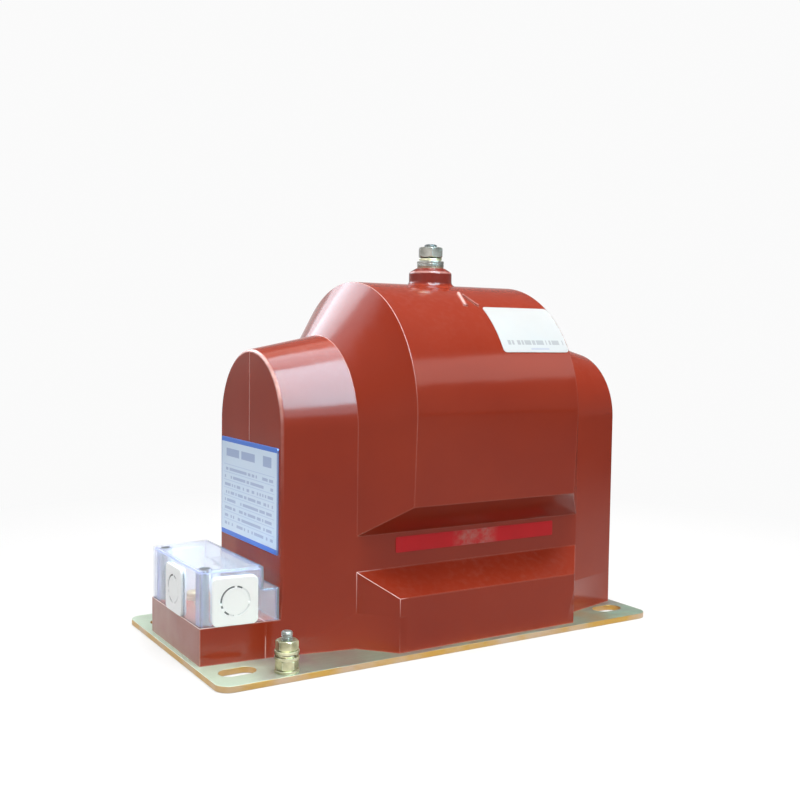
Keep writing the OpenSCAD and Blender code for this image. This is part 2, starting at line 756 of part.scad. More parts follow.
// Window of the cover for one cable entry plate, open at the floor, facing minus Y
module entry_window() {
    w = entry_w - 2 * entry_lap;
    translate([-w / 2, -window_cut, tblock_top_z - over])
        cube([w, cover_wall + 2 * window_cut, entry_h - entry_lap + over]);
}

module terminal_cover() {
    color([0.80, 0.88, 0.94, 0.35]) difference() {
        union() {
            difference() {
                cover_hull_shape(0, tblock_top_z);
                cover_hull_shape(cover_wall, tblock_top_z - over);
            }
            for (s = [-1, 1]) translate([post_x, s * post_y, tblock_top_z])
                cylinder(h = cover_top_z - tblock_top_z - cover_wall / 2, r = post_r);
        }
        for (s = [-1, 1]) translate([post_x, s * post_y, tblock_top_z - over]) {
            cylinder(h = cover_top_z - tblock_top_z + 2 * over, r = cover_screw_d / 2 + bolt_clear);
            translate([0, 0, cover_top_z - tblock_top_z + over - cover_head_h])
                cylinder(h = cover_head_h + over, r = cover_head_r + bolt_clear);
        }
        place_entries() entry_window();
    }
}

// Puts a child that faces minus Y at the front, the back and the left end
module place_entries() {
    translate([entry_x, -entry_front_half, 0]) rotate([0, 0, -entry_tilt]) children();
    mirror([0, 1, 0]) translate([entry_x, -entry_front_half, 0]) rotate([0, 0, -entry_tilt]) children();
    translate([cover_end_x, 0, 0]) rotate([0, 0, -90]) children();
}

// One cable entry plate that grips the edge of its window, facing minus Y
module entry_plate() {
    w = entry_w - 2 * entry_lap - 2 * entry_gap;
    difference() {
        union() {
            for (y = [-entry_gap, cover_wall + entry_gap + entry_flange_t])
                translate([0, y, tblock_top_z + entry_h / 2]) rotate([90, 0, 0])
                    linear_extrude(entry_flange_t) rounded(entry_w, entry_h, entry_corner_r);
            translate([-w / 2, -entry_gap - entry_flange_t / 2, tblock_top_z])
                cube([w, cover_wall + 2 * entry_gap + entry_flange_t, entry_h - entry_lap - entry_gap]);
        }
        translate([0, -entry_gap - entry_flange_t - over, tblock_top_z + entry_h / 2]) rotate([-90, 0, 0])
            difference() {
                cylinder(h = entry_ring_depth + over, r = entry_ring_r);
                translate([0, 0, -over])
                    cylinder(h = entry_ring_depth + 3 * over, r = entry_ring_r - entry_ring_w);
            }
    }
}

module cable_entry_plates() {
    color([0.93, 0.93, 0.90]) place_entries() entry_plate();
}

module cover_screws() {
    color([0.72, 0.72, 0.70]) for (s = [-1, 1])
        translate([post_x, s * post_y, cover_top_z - cover_head_h])
            slotted_screw(cover_head_r, cover_head_h, cover_screw_d / 2,
                cover_top_z - cover_head_h - tblock_top_z + cover_screw_depth);
}

module cover_inserts() {
    color([0.80, 0.66, 0.36]) for (s = [-1, 1])
        translate([post_x, s * post_y, tblock_top_z - cover_insert_h]) difference() {
            cylinder(h = cover_insert_h, r = cover_insert_r);
            translate([0, 0, cover_insert_h - cover_screw_depth - thread_clear])
                cylinder(h = cover_screw_depth + over, r = cover_screw_d / 2 + thread_clear);
        }
}

module terminal_inserts() {
    color([0.82, 0.68, 0.38]) for (k = [0:terminal_count - 1])
        translate([terminal_x, k * terminal_pitch - terminal_row_l / 2, terminal_top_z - terminal_insert_h])
            difference() {
                cylinder(h = terminal_insert_h, r = terminal_insert_r);
                translate([0, 0, terminal_insert_h - terminal_screw_depth - thread_clear])
                    cylinder(h = terminal_screw_depth + over, r = terminal_screw_d / 2 + thread_clear);
            }
}

module terminal_washers() {
    color([0.84, 0.74, 0.46]) for (k = [0:terminal_count - 1])
        translate([terminal_x, k * terminal_pitch - terminal_row_l / 2, terminal_top_z])
            washer(terminal_washer_r, terminal_screw_d / 2 + bolt_clear, terminal_washer_t);
}

module terminal_screws() {
    color([0.82, 0.70, 0.40]) for (k = [0:terminal_count - 1])
        translate([terminal_x, k * terminal_pitch - terminal_row_l / 2, terminal_head_z])
            rotate([0, 0, terminal_turn * (k + 0.5)])
                slotted_screw(terminal_head_r, terminal_head_h, terminal_screw_d / 2,
                    terminal_washer_t + terminal_screw_depth);
}

module rating_plate() {
    color([0.82, 0.88, 0.95]) translate([left_end_x - rating_t, -rating_w / 2, rating_z])
        cube([rating_t, rating_w, rating_h]);
}

module arch_label() {
    mid = (arch_label_drop + arch_label_h / 2) / block_r * 180 / PI;
    half = arch_label_h / 2 / block_r * 180 / PI;
    color([0.93, 0.93, 0.93]) intersection() {
        difference() {
            rod_x(arch_label_x, arch_label_x + arch_label_l, block_axis_z, block_r + label_t);
            rod_x(arch_label_x - over, arch_label_x + arch_label_l + over, block_axis_z, block_r);
        }
        translate([arch_label_x - over, 0, block_axis_z]) rotate([mid, 0, 0]) rotate([90, 0, 90])
            linear_extrude(arch_label_l + 2 * over)
                polygon([[0, 0], [-2 * block_r * sin(half), 2 * block_r * cos(half)],
                    [2 * block_r * sin(half), 2 * block_r * cos(half)]]);
    }
}

module recess_strip() {
    color([0.80, 0.13, 0.12]) translate([strip_x, -low_r - label_t, strip_z])
        cube([strip_l, label_t, strip_h]);
}

module core_upper_half() {
    color([0.42, 0.43, 0.45]) intersection() {
        core_frame(0, core_depth);
        translate([block_x - core_l, -core_depth, core_mid_z + core_cut_gap / 2])
            cube([2 * core_l, 2 * core_depth, core_h]);
    }
}

module core_lower_half() {
    color([0.40, 0.41, 0.43]) intersection() {
        core_frame(0, core_depth);
        translate([block_x - core_l, -core_depth, core_mid_z - core_cut_gap / 2 - core_h])
            cube([2 * core_l, 2 * core_depth, core_h]);
    }
}

module core_band() {
    color([0.60, 0.61, 0.62]) translate([block_x, band_w / 2, core_mid_z]) rotate([90, 0, 0])
        linear_extrude(band_w) difference() {
            rounded(core_l + 2 * band_t, core_h + 2 * band_t, core_corner_r + band_t);
            rounded(core_l, core_h, core_corner_r);
        }
}

module winding_former() {
    color([0.78, 0.66, 0.44]) difference() {
        rod_x(block_x - former_half_l, block_x + former_half_l, coil_axis_z, former_r);
        translate([block_x - former_half_l - over, -core_depth / 2 - embed_gap,
            coil_axis_z - core_build / 2 - embed_gap])
                cube([2 * (former_half_l + over), core_depth + 2 * embed_gap, core_build + 2 * embed_gap]);
        translate([block_x - former_half_l - over, -band_w / 2 - embed_gap, coil_axis_z])
            cube([2 * (former_half_l + over), band_w + 2 * embed_gap, core_build / 2 + band_t + embed_gap]);
    }
}

module secondary_winding() {
    color([0.72, 0.40, 0.20]) difference() {
        rod_x(block_x - secondary_half_l, block_x + secondary_half_l, coil_axis_z, secondary_r);
        rod_x(block_x - secondary_half_l - over, block_x + secondary_half_l + over, coil_axis_z, former_r);
    }
}

module insulation_sleeve() {
    color([0.85, 0.78, 0.60]) difference() {
        rod_x(block_x - sleeve_half_l, block_x + sleeve_half_l, coil_axis_z, sleeve_r);
        rod_x(block_x - sleeve_half_l - over, block_x + sleeve_half_l + over, coil_axis_z, secondary_r);
    }
}

module primary_winding() {
    color([0.70, 0.36, 0.18]) difference() {
        primary_shape(0);
        rod_x(block_x - primary_inner_half_l - over, block_x + primary_inner_half_l + over,
            coil_axis_z, sleeve_r);
    }
}

module hv_lead() {
    color([0.74, 0.42, 0.22]) translate([block_x, 0, coil_axis_z + primary_r])
        cylinder(h = hv_insert_bottom_z - coil_axis_z - primary_r, r = lead_r);
}

module secondary_leads() {
    color([0.74, 0.44, 0.24])
        lead_set(lead_r, block_x - secondary_half_l, terminal_top_z - terminal_insert_h);
}

module core_earth_strap() {
    color([0.76, 0.46, 0.26]) translate([strap_x - strap_w / 2, -strap_t / 2, plate_t])
        cube([strap_w, strap_t, core_bottom_z - band_t - plate_t]);
}

module plate_screws() {
    color([0.70, 0.70, 0.66]) for (x = [plate_screw_left_x, plate_screw_right_x]) for (s = [-1, 1])
        translate([x, s * plate_screw_y, 0]) {
            cylinder(h = plate_head_h, r1 = plate_head_r - bolt_clear, r2 = plate_screw_d / 2);
            cylinder(h = plate_t + plate_screw_depth, r = plate_screw_d / 2);
        }
}

module plate_inserts() {
    color([0.80, 0.66, 0.36]) for (x = [plate_screw_left_x, plate_screw_right_x]) for (s = [-1, 1])
        translate([x, s * plate_screw_y, plate_t]) difference() {
            cylinder(h = plate_insert_h, r = plate_insert_r);
            translate([0, 0, -over])
                cylinder(h = plate_screw_depth + over + thread_clear, r = plate_screw_d / 2 + thread_clear);
        }
}

base_plate();
resin_body();
hv_insert();
hv_stud();
hv_washers();
hv_spring_washer();
hv_nut();
earth_stud();
earth_nuts();
earth_washers();
earth_spring_washer();
terminal_cover();
cable_entry_plates();
cover_screws();
cover_inserts();
terminal_inserts();
terminal_washers();
terminal_screws();
rating_plate();
arch_label();
recess_strip();
core_upper_half();
core_lower_half();
core_band();
winding_former();
secondary_winding();
insulation_sleeve();
primary_winding();
hv_lead();
secondary_leads();
core_earth_strap();
plate_screws();
plate_inserts();
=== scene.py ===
"""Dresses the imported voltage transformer: smooth meshes, procedural finishes, light and camera."""

import json
import logging
import math
from dataclasses import dataclass, field
from enum import Enum
from typing import Callable, Iterable, Optional, Sequence

import bmesh
import bpy
from bmesh.types import BMEdge, BMFace, BMVert
from bpy.types import Material, Mesh, Node, NodeSocket, NodeTree, Object
from mathutils import Euler, Matrix, Vector

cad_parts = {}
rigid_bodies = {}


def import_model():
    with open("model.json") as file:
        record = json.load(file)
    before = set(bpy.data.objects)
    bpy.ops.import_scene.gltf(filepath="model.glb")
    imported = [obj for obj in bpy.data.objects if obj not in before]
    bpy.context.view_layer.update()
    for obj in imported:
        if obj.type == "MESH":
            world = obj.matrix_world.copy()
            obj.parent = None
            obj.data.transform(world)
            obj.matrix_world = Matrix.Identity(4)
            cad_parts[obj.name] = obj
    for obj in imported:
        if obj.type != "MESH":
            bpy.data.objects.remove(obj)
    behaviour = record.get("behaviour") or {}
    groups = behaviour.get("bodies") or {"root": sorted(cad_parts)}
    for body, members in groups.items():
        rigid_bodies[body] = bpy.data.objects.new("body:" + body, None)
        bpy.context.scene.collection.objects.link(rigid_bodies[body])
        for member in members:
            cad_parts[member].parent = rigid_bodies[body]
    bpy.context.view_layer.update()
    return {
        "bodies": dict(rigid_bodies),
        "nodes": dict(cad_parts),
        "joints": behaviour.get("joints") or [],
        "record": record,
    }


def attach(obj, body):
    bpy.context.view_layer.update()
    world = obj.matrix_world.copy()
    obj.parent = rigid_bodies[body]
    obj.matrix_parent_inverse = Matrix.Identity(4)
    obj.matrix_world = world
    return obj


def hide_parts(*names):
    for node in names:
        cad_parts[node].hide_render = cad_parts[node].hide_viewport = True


LOG = logging.getLogger("voltage_transformer")
MM = 0.001
ROOT = "root"
NEAR = 0.01  # Places in millimetres that differ by less than this are the same.
MERGE = 0.002  # Vertices this close, in millimetres, are merged.
SHORTEST = 0.0015  # Edges shorter than this are dissolved.
BORE_PLAY = 0.3  # How much wider than its stud the bore of a washer is, on each side.
THREAD_BITE = 0.05  # How far a nut reaches into the crests of its stud.
ORIGIN = (0, 0, 0)
Z_AXIS = (0, 0, 1)


class Reach(Enum):
    """What a lamp is seen by: matt surfaces or glossy ones."""

    MATT = "matt"
    GLOSS = "gloss"


class Slot(Enum):
    """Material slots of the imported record."""

    PLATE = "passivated_plate"
    RESIN = "cast_resin"
    BRASS = "brass"
    ZINC = "zinc_steel"
    YELLOW_ZINC = "yellow_zinc"
    COVER = "clear_cover"
    WHITE = "white_plastic"
    RATING = "plate_face"
    LABEL = "white_label"
    STRIP = "red_strip"
    CORE = "core_steel"
    BAND = "band_steel"
    BOARD = "former_board"
    COPPER = "copper"


# ---------------------------------------------------------------------------
# Node trees
# ---------------------------------------------------------------------------


class Sheet:
    """Adds and joins nodes in one node tree."""

    def __init__(self, tree: NodeTree) -> None:
        """Starts with the tree that the nodes go into."""
        self.tree = tree
        self.count = 0

    def join(self, value: object, socket: NodeSocket) -> None:
        """Joins a value to an input, or sets a plain number, vector or colour on it."""
        if isinstance(value, NodeSocket):
            self.tree.links.new(value, socket)
        else:
            socket.default_value = (*value, 1.0)[:4] if socket.type == "RGBA" else value

    def node(self, kind: str, inputs: Optional[dict] = None, **settings: object) -> Node:
        """Adds one node.

        Args:
            kind: Blender's name of the node type, without ShaderNode in front.
            inputs: Value or joined socket for each input, by its name or number.
            settings: Properties of the node itself.

        Returns:
            The new node.
        """
        made = self.tree.nodes.new(kind if kind.startswith("NodeGroup") else f"ShaderNode{kind}")
        made.location = (220 * (self.count % 12), -260 * (self.count // 12))
        self.count += 1
        for name, value in settings.items():
            setattr(made, name, value)
        for key, value in (inputs or {}).items():
            self.join(value, made.inputs[key])
        return made

    def math(self, operation: str, a: object, b: object = 0.0, clamp: bool = False) -> NodeSocket:
        """Adds a Math node and returns its result."""
        return self.node("Math", {0: a, 1: b}, operation=operation, use_clamp=clamp).outputs[0]

    def product(self, *factors: object) -> NodeSocket:
        """Multiplies several values and returns the result."""
        total = factors[0]
        for factor in factors[1:]:
            total = self.math("MULTIPLY", total, factor)
        return total

    def remap(self, value: object, low: float, high: float, to_low: float = 0.0,
              to_high: float = 1.0) -> NodeSocket:
        """Maps a value from one range to another, clamped, and returns the result."""
        return self.node("MapRange", {0: value, 1: low, 2: high, 3: to_low, 4: to_high}).outputs[0]

    def mix(self, factor: object, a: object, b: object) -> NodeSocket:
        """Mixes two colours and returns the result."""
        return self.node("Mix", {0: factor, 6: a, 7: b}, data_type="RGBA").outputs[2]

    def coords(self) -> NodeSocket:
        """Returns the object coordinates of the piece, in metres in the shared frame."""
        return self.node("TexCoord").outputs["Object"]

    def axes(self, vector: NodeSocket) -> tuple[NodeSocket, ...]:
        """Splits a vector into X, Y and Z."""
        return tuple(self.node("SeparateXYZ", {0: vector}).outputs)

    def facing(self) -> NodeSocket:
        """Returns how far the surface looks up."""
        return self.axes(self.node("NewGeometry").outputs["Normal"])[2]

    def noise(self, coords: object, scale: object, detail: float = 3.0, rough: float = 0.5) -> NodeSocket:
        """Adds a noise texture and returns its value."""
        inputs = {"Vector": coords, "Scale": scale, "Detail": detail, "Roughness": rough}
        return self.node("TexNoise", inputs).outputs[0]

    def ramp(self, value: object, stops: Sequence[tuple]) -> NodeSocket:
        """Adds a colour ramp with a place and a colour for each stop, and returns its colour."""
        made = self.node("ValToRGB", {0: value})
        elements = made.color_ramp.elements
        while len(elements) < len(stops):
            elements.new(0.5)
        for element, (place, colour) in zip(elements, stops):
            element.position = place
            element.color = (*colour, 1.0)
        return made.outputs[0]


class Effects:
    """Shared effects, each a node group that is built once."""

    def __init__(self) -> None:
        """Builds every shared group."""
        self.wear = self._edge_wear()
        self.mottle = self._mottle()
        self.dust = self._dust()
        self.brushing = self._brushing()
        self.block = self._block()

    @staticmethod
    def _start(name: str, inputs: dict, outputs: Iterable[str] = ("Mask",)) -> tuple:
        """Starts a group.

        Args:
            name: Name of the group.
            inputs: Default for each input, or None for the coordinates.
            outputs: Names of the float outputs.

        Returns:
            The sheet, what the group is given, and the sockets that it puts out.
        """
        tree = bpy.data.node_groups.new(name, "ShaderNodeTree")
        for label, default in inputs.items():
            kind = "NodeSocketFloat" if isinstance(default, float) else "NodeSocketVector"
            made = tree.interface.new_socket(name=label, in_out="INPUT", socket_type=kind)
            if default is not None:
                made.default_value = default
        for label in outputs:
            tree.interface.new_socket(name=label, in_out="OUTPUT", socket_type="NodeSocketFloat")
        sheet = Sheet(tree)
        return sheet, sheet.node("NodeGroupInput").outputs, sheet.node("NodeGroupOutput").inputs

    def _edge_wear(self) -> NodeTree:
        """Builds the mask that is bright along rounded edges, for wear and, on the resin, also for painted highlight.
        """
        sheet, given, out = self._start("edge wear", {"Coords": None, "Radius": 0.001, "Gain": 3.0,
                                                      "Break Scale": 60.0})
        rounded = sheet.node("Bevel", {"Radius": given["Radius"]}, samples=4)
        dot = sheet.node("VectorMath", {0: rounded.outputs[0], 1: sheet.node("NewGeometry").outputs["Normal"]},
                         operation="DOT_PRODUCT")
        turned = sheet.product(sheet.math("SUBTRACT", 1.0, dot.outputs["Value"]), given["Gain"])
        broken = sheet.remap(sheet.noise(given["Coords"], given["Break Scale"], 4.0), 0.3, 0.7, 0.35, 1.0)
        sheet.join(sheet.math("MULTIPLY", turned, broken, clamp=True), out["Mask"])
        return sheet.tree

    def _mottle(self) -> NodeTree:
        """Builds broad and fine unevenness in one group."""
        sheet, given, out = self._start("mottle", {"Coords": None, "Broad Scale": 14.0, "Fine Scale": 600.0},
                                        ("Broad", "Fine"))
        for label, detail in (("Broad", 3.0), ("Fine", 2.0)):
            cloud = sheet.noise(given["Coords"], given[f"{label} Scale"], detail)
            sheet.join(sheet.remap(cloud, 0.25, 0.75), out[label])
        return sheet.tree

    def _dust(self) -> NodeTree:
        """Builds the mask of dust that lies on faces that look up."""
        sheet, given, out = self._start("dust", {"Coords": None, "Amount": 0.3})
        speck = sheet.remap(sheet.noise(given["Coords"], 240.0, 5.0), 0.45, 0.8)
        cloud = sheet.remap(sheet.noise(given["Coords"], 22.0), 0.3, 0.7)
        lying = sheet.product(sheet.remap(sheet.facing(), 0.35, 1.0), speck, cloud)
        sheet.join(sheet.math("MULTIPLY", lying, given["Amount"], clamp=True), out["Mask"])
        return sheet.tree

    def _brushing(self) -> NodeTree:
        """Builds fine streaks, as on rolled or turned metal."""
        sheet, given, out = self._start("brushing", {"Coords": None, "Stretch": (40.0, 1600.0, 1600.0)}, ("Streak",))
        stretched = sheet.node("VectorMath", {0: given["Coords"], 1: given["Stretch"]}, operation="MULTIPLY")
        sheet.join(sheet.remap(sheet.noise(stretched.outputs[0], 1.0), 0.3, 0.7), out["Streak"])
        return sheet.tree

    def _block(self) -> NodeTree:
        """Builds the mask of one upright rectangle on a printed face."""
        sheet, given, out = self._start("printed block", {"Across": 0.0, "Up": 0.0, "Left": 0.0, "Right": 1.0,
                                                          "Bottom": 0.0, "Top": 1.0})
        sides = [sheet.math(test, given[way], given[side]) for test, way, side in (
            ("GREATER_THAN", "Across", "Left"), ("LESS_THAN", "Across", "Right"),
            ("GREATER_THAN", "Up", "Bottom"), ("LESS_THAN", "Up", "Top"))]
        sheet.join(sheet.product(*sides), out["Mask"])
        return sheet.tree


# ---------------------------------------------------------------------------
# Finishes
# ---------------------------------------------------------------------------


class Coating:
    """A material in the making: one Principled shader and what feeds it."""

    def __init__(self, name: str, effects: Effects) -> None:
        """Makes an empty material.

        Args:
            name: Name of the material.
            effects: The shared effects that it may place.
        """
        self.material = bpy.data.materials.new(name)
        self.material.use_nodes = True
        tree = self.material.node_tree
        tree.nodes.clear()
        self.effects = effects
        self.sheet = Sheet(tree)
        self.shader = self.sheet.node("BsdfPrincipled")
        self.sheet.node("OutputMaterial", {"Surface": self.shader.outputs[0]})
        self.coords = self.sheet.coords()

    def feed(self, values: dict) -> Material:
        """Joins or sets inputs of the shader and returns the material."""
        for key, value in values.items():
            self.sheet.join(value, self.shader.inputs[key])
        return self.material

    def relief(self, height: NodeSocket, strength: float, distance: float) -> NodeSocket:
        """Returns the normal of a relief from its height, in metres."""
        return self.sheet.node("Bump", {"Strength": strength, "Distance": distance, "Height": height}).outputs[0]

    def noise(self, scale: float, detail: float = 3.0, rough: float = 0.5) -> NodeSocket:
        """Returns a noise on the object coordinates."""
        return self.sheet.noise(self.coords, scale, detail, rough)

    def effect(self, tree: NodeTree, inputs: dict) -> tuple[NodeSocket, ...]:
        """Places a shared effect with its own values and returns what it puts out."""
        return tuple(self.sheet.node("Group", inputs, node_tree=tree).outputs)

    def mottle(self, broad: float, fine: float) -> tuple[NodeSocket, ...]:
        """Returns broad and fine unevenness."""
        return self.effect(self.effects.mottle, {"Coords": self.coords, "Broad Scale": broad, "Fine Scale": fine})

    def wear(self, radius: float, gain: float, scale: float, share: float = 1.0) -> NodeSocket:
        """Returns a share of the mask of worn edges."""
        mask = self.effect(self.effects.wear, {"Coords": self.coords, "Radius": radius, "Gain": gain,
                                               "Break Scale": scale})[0]
        return self.sheet.product(mask, share)

    def dust(self, amount: float) -> NodeSocket:
        """Returns the mask of dust."""
        return self.effect(self.effects.dust, {"Coords": self.coords, "Amount": amount})[0]

    def streak(self, stretch: tuple) -> NodeSocket:
        """Returns fine streaks."""
        return self.effect(self.effects.brushing, {"Coords": self.coords, "Stretch": stretch})[0]

    def block(self, across: NodeSocket, up: NodeSocket, left: float, right: float, low: float,
              high: float) -> NodeSocket:
        """Returns the mask of one printed rectangle, in shares of the printed face."""
        return self.effect(self.effects.block, {"Across": across, "Up": up, "Left": left, "Right": right,
                                                "Bottom": low, "Top": high})[0]

    def filled(self, across: NodeSocket, cells: float, row: object, share: float) -> NodeSocket:
        """Returns which cells of a printed row are filled.

        Args:
            across: Where the row is read, from 0 to 1.
            cells: Number of cells in a row.
            row: Number of the row.
            share: Share of the cells that stay empty.

        Returns:
            The mask.
        """
        cell = self.sheet.math("FLOOR", self.sheet.math("MULTIPLY", across, cells))
        place = self.sheet.node("CombineXYZ", {0: cell, 1: row})
        chance = self.sheet.node("TexWhiteNoise", {"Vector": place.outputs[0]}, noise_dimensions="2D")
        return self.sheet.math("GREATER_THAN", chance.outputs["Value"], share)


@dataclass(frozen=True)
class ResinFinish:
    """Glossy red brown cast resin: rounded edges paler from wear and painted highlight, painted highlights along rims,
    seams and the mark, a paler end on the terminal block, and painted shade on the boss.
    """

    colour: tuple = (0.306, 0.0352, 0.0131)
    deep: tuple = (0.264, 0.0272, 0.0108)
    # worn: edge wear, and also painted highlight along the rounded edges.
    worn: tuple = (0.700, 0.330, 0.250)
    # rim: colour of the painted highlight, read from the rim attribute.
    rim: tuple = (0.950, 0.600, 0.560)
    dust: tuple = (0.520, 0.330, 0.270)
    # end_pale: the end of the terminal block is painted paler.
    end_pale: tuple = (0.560, 0.400, 0.340)
    # dim: painted shade on the boss.
    dim: tuple = (0.165, 0.028, 0.027)
    # step_highlight: painted highlight along the rounded top edge of the terminal block.
    step_highlight: tuple = (0.980, 0.800, 0.780)
    end_pale_x: tuple = (-0.1418, -0.1412)
    block_x: float = -0.0985
    step_z: float = 0.0236
    # Where the painted shade on the boss lies.
    boss_x: float = 0.0232
    boss_z: tuple = (0.2085, 0.2095)
    boss_r: tuple = (0.0142, 0.0150)
    roughness: float = 0.13

    def build(self, effects: Effects) -> Material:
        """Builds the material of the casting."""
        coat = Coating("cast resin", effects)
        sheet = coat.sheet
        broad, fine = coat.mottle(16.0, 420.0)
        dust = coat.dust(0.10)
        x, y, z = sheet.axes(coat.coords)
        colour = sheet.mix(broad, self.deep, self.colour)
        colour = sheet.mix(sheet.product(fine, 0.16), colour, self.deep)
        # Rounded edges turn paler: partly real wear, partly painted highlight.
        colour = sheet.mix(coat.wear(0.0012, 5.0, 45.0, 0.55), colour, self.worn)
        # Painted highlight on the marked rims, seams and bars, broken by noise.
        rim_highlight = sheet.product(sheet.node("Attribute", attribute_name="rim").outputs["Fac"],
                               sheet.remap(coat.noise(160.0), 0.3, 0.6, 0.55, 0.95))
        colour = sheet.mix(rim_highlight, colour, self.rim)
        # The end of the terminal block is painted paler, and painted shade darkens it towards its front corner.
        end_pale = sheet.product(sheet.remap(x, *self.end_pale_x, 1.0, 0.0), sheet.remap(y, -0.040, 0.010, 0.35, 1.0),
                              sheet.remap(coat.noise(30.0), 0.3, 0.7, 0.35, 0.65))
        colour = sheet.mix(end_pale, colour, self.end_pale)
        # Painted highlight along the rounded top edge of the terminal block.
        up = sheet.facing()
        level = sheet.math("ABSOLUTE", sheet.math("SUBTRACT", z, self.step_z))
        step_highlight = sheet.product(sheet.remap(up, 0.03, 0.15), sheet.remap(up, 0.98, 0.999, 1.0, 0.0),
                            sheet.remap(level, 0.0011, 0.0014, 1.0, 0.0), sheet.math("LESS_THAN", x, self.block_x))
        colour = sheet.mix(step_highlight, colour, self.step_highlight)
        # Painted shade darkens the boss, except on its painted highlight ring.
        east = sheet.math("SUBTRACT", x, self.boss_x)
        out = sheet.math("SQRT", sheet.math("ADD", sheet.product(east, east), sheet.product(y, y)))
        boss_shade_mask = sheet.product(sheet.remap(z, *self.boss_z), sheet.remap(out, *self.boss_r, 1.0, 0.0),
                               sheet.math("SUBTRACT", 1.0, rim_highlight), 0.55)
        colour = sheet.mix(boss_shade_mask, colour, self.dim)
        rough = sheet.math("ADD", self.roughness, sheet.product(broad, 0.05))
        waves = sheet.math("ADD", sheet.product(coat.noise(26.0, 2.0), 6.0), sheet.product(coat.noise(520.0), 0.28))
        return coat.feed({
            "Base Color": sheet.mix(dust, colour, self.dust),
            "Roughness": sheet.math("ADD", rough, sheet.product(dust, 0.3)),
            "Specular IOR Level": 0.22, "Normal": coat.relief(waves, 0.35, 0.0002)})


@dataclass(frozen=True)
class PlateFinish:
    """Yellow passivated steel plate with the play of colours that the passivation gives."""

    green: tuple = (0.360, 0.480, 0.350)
    silver: tuple = (0.360, 0.350, 0.275)
    rose: tuple = (0.330, 0.240, 0.260)
    gold: tuple = (0.480, 0.355, 0.165)
    pale: tuple = (0.510, 0.620, 0.480)
    rim: tuple = (0.610, 0.330, 0.055)
    bleached: tuple = (0.600, 0.410, 0.270)
    dust: tuple = (0.66, 0.64, 0.58)
    pale_x: tuple = (-0.134, -0.096)

    def build(self, effects: Effects) -> Material:
        """Builds the material of the base plate."""
        coat = Coating("passivated plate", effects)
        sheet = coat.sheet
        play = sheet.ramp(coat.noise(13.0, 4.0, 0.55),
                          ((0.30, self.rose), (0.44, self.silver), (0.56, self.green), (0.70, self.gold)))
        edge = sheet.remap(sheet.math("ABSOLUTE", sheet.facing()), 0.35, 0.75, 0.9, 0.0)
        streak = coat.streak((30.0, 900.0, 900.0))
        dust = coat.dust(0.18)
        wander = sheet.product(sheet.math("SUBTRACT", coat.noise(22.0, 4.0), 0.5), 0.07)
        along = sheet.math("ADD", sheet.axes(coat.coords)[0], wander)
        corner = sheet.remap(along, *self.pale_x, 0.9, 0.0)
        play = sheet.mix(corner, play, self.pale)
        tint = sheet.mix(sheet.remap(coat.noise(38.0), 0.42, 0.62), self.rim, self.bleached)
        worn = sheet.mix(coat.wear(0.0012, 4.0, 110.0, 0.5), sheet.mix(edge, play, tint), self.silver)
        return coat.feed({
            "Base Color": sheet.mix(dust, worn, self.dust),
            "Metallic": sheet.math("SUBTRACT", sheet.remap(dust, 0.0, 0.4, 0.72, 0.2), sheet.product(corner, 0.5),
                                   clamp=True),
            "Roughness": sheet.math("ADD", 0.30, sheet.product(streak, 0.14)),
            "Normal": coat.relief(streak, 0.12, 0.0001)})


@dataclass(frozen=True)
class MetalFinish:
    """Plated or turned metal with tinted clouds, fine streaks and worn edges."""

    name: str
    light: tuple
    dark: tuple
    worn: tuple
    metallic: float = 0.75
    roughness: float = 0.28
    stretch: tuple = (1200.0, 1200.0, 60.0)

    def build(self, effects: Effects) -> Material:
        """Builds the material."""
        coat = Coating(self.name, effects)
        sheet = coat.sheet
        broad, fine = coat.mottle(110.0, 1500.0)
        streak = coat.streak(self.stretch)
        clouded = sheet.mix(broad, self.dark, self.light)
        return coat.feed({
            "Base Color": sheet.mix(coat.wear(0.0007, 4.5, 300.0, 0.8), clouded, self.worn),
            "Metallic": self.metallic, "Roughness": sheet.math("ADD", self.roughness, sheet.product(streak, 0.12)),
            "Normal": coat.relief(sheet.math("ADD", streak, fine), 0.12, 0.00006)})


@dataclass(frozen=True)
class ClearFinish:
    """Clear moulded plastic, bluish along its edges."""

    clear: tuple = (0.890, 0.910, 0.960)
    edge: tuple = (0.700, 0.700, 0.980)
    ior: float = 1.16
    transmission: float = 0.87

    def build(self, effects: Effects) -> Material:
        """Builds the material of the terminal cover."""
        coat = Coating("clear cover", effects)
        return coat.feed({
            "Base Color": coat.sheet.mix(coat.wear(0.0011, 4.0, 30.0), self.clear, self.edge),
            "Roughness": coat.sheet.remap(coat.noise(320.0, 4.0), 0.4, 0.8, 0.02, 0.09),
            "IOR": self.ior, "Transmission Weight": self.transmission,
            "Normal": coat.relief(coat.noise(60.0, 2.0), 0.05, 0.0002)})


@dataclass(frozen=True)
class MouldedFinish:
    """White moulded plastic with painted shade in its groove."""

    colour: tuple = (0.965, 0.970, 0.965)
    shade: tuple = (0.925, 0.935, 0.930)
    edge: tuple = (0.97, 0.97, 0.96)
    # groove: painted shade in the knock out groove.
    groove: tuple = (0.090, 0.090, 0.095)

    def build(self, effects: Effects) -> Material:
        """Builds the material of the cable entry plates."""
        coat = Coating("white plastic", effects)
        sheet = coat.sheet
        broad, fine = coat.mottle(60.0, 1400.0)
        base = sheet.mix(sheet.product(broad, 0.4), self.colour, self.shade)
        edged = sheet.mix(coat.wear(0.0006, 2.0, 200.0, 0.5), base, self.edge)
        # The groove attribute carries painted shade.
        groove = sheet.node("Attribute", attribute_name="groove").outputs["Fac"]
        return coat.feed({
            "Base Color": sheet.mix(groove, edged, self.groove), "Roughness": sheet.remap(broad, 0.0, 1.0, 0.38, 0.5),
            "Specular IOR Level": 0.8, "Normal": coat.relief(fine, 0.12, 0.00005)})


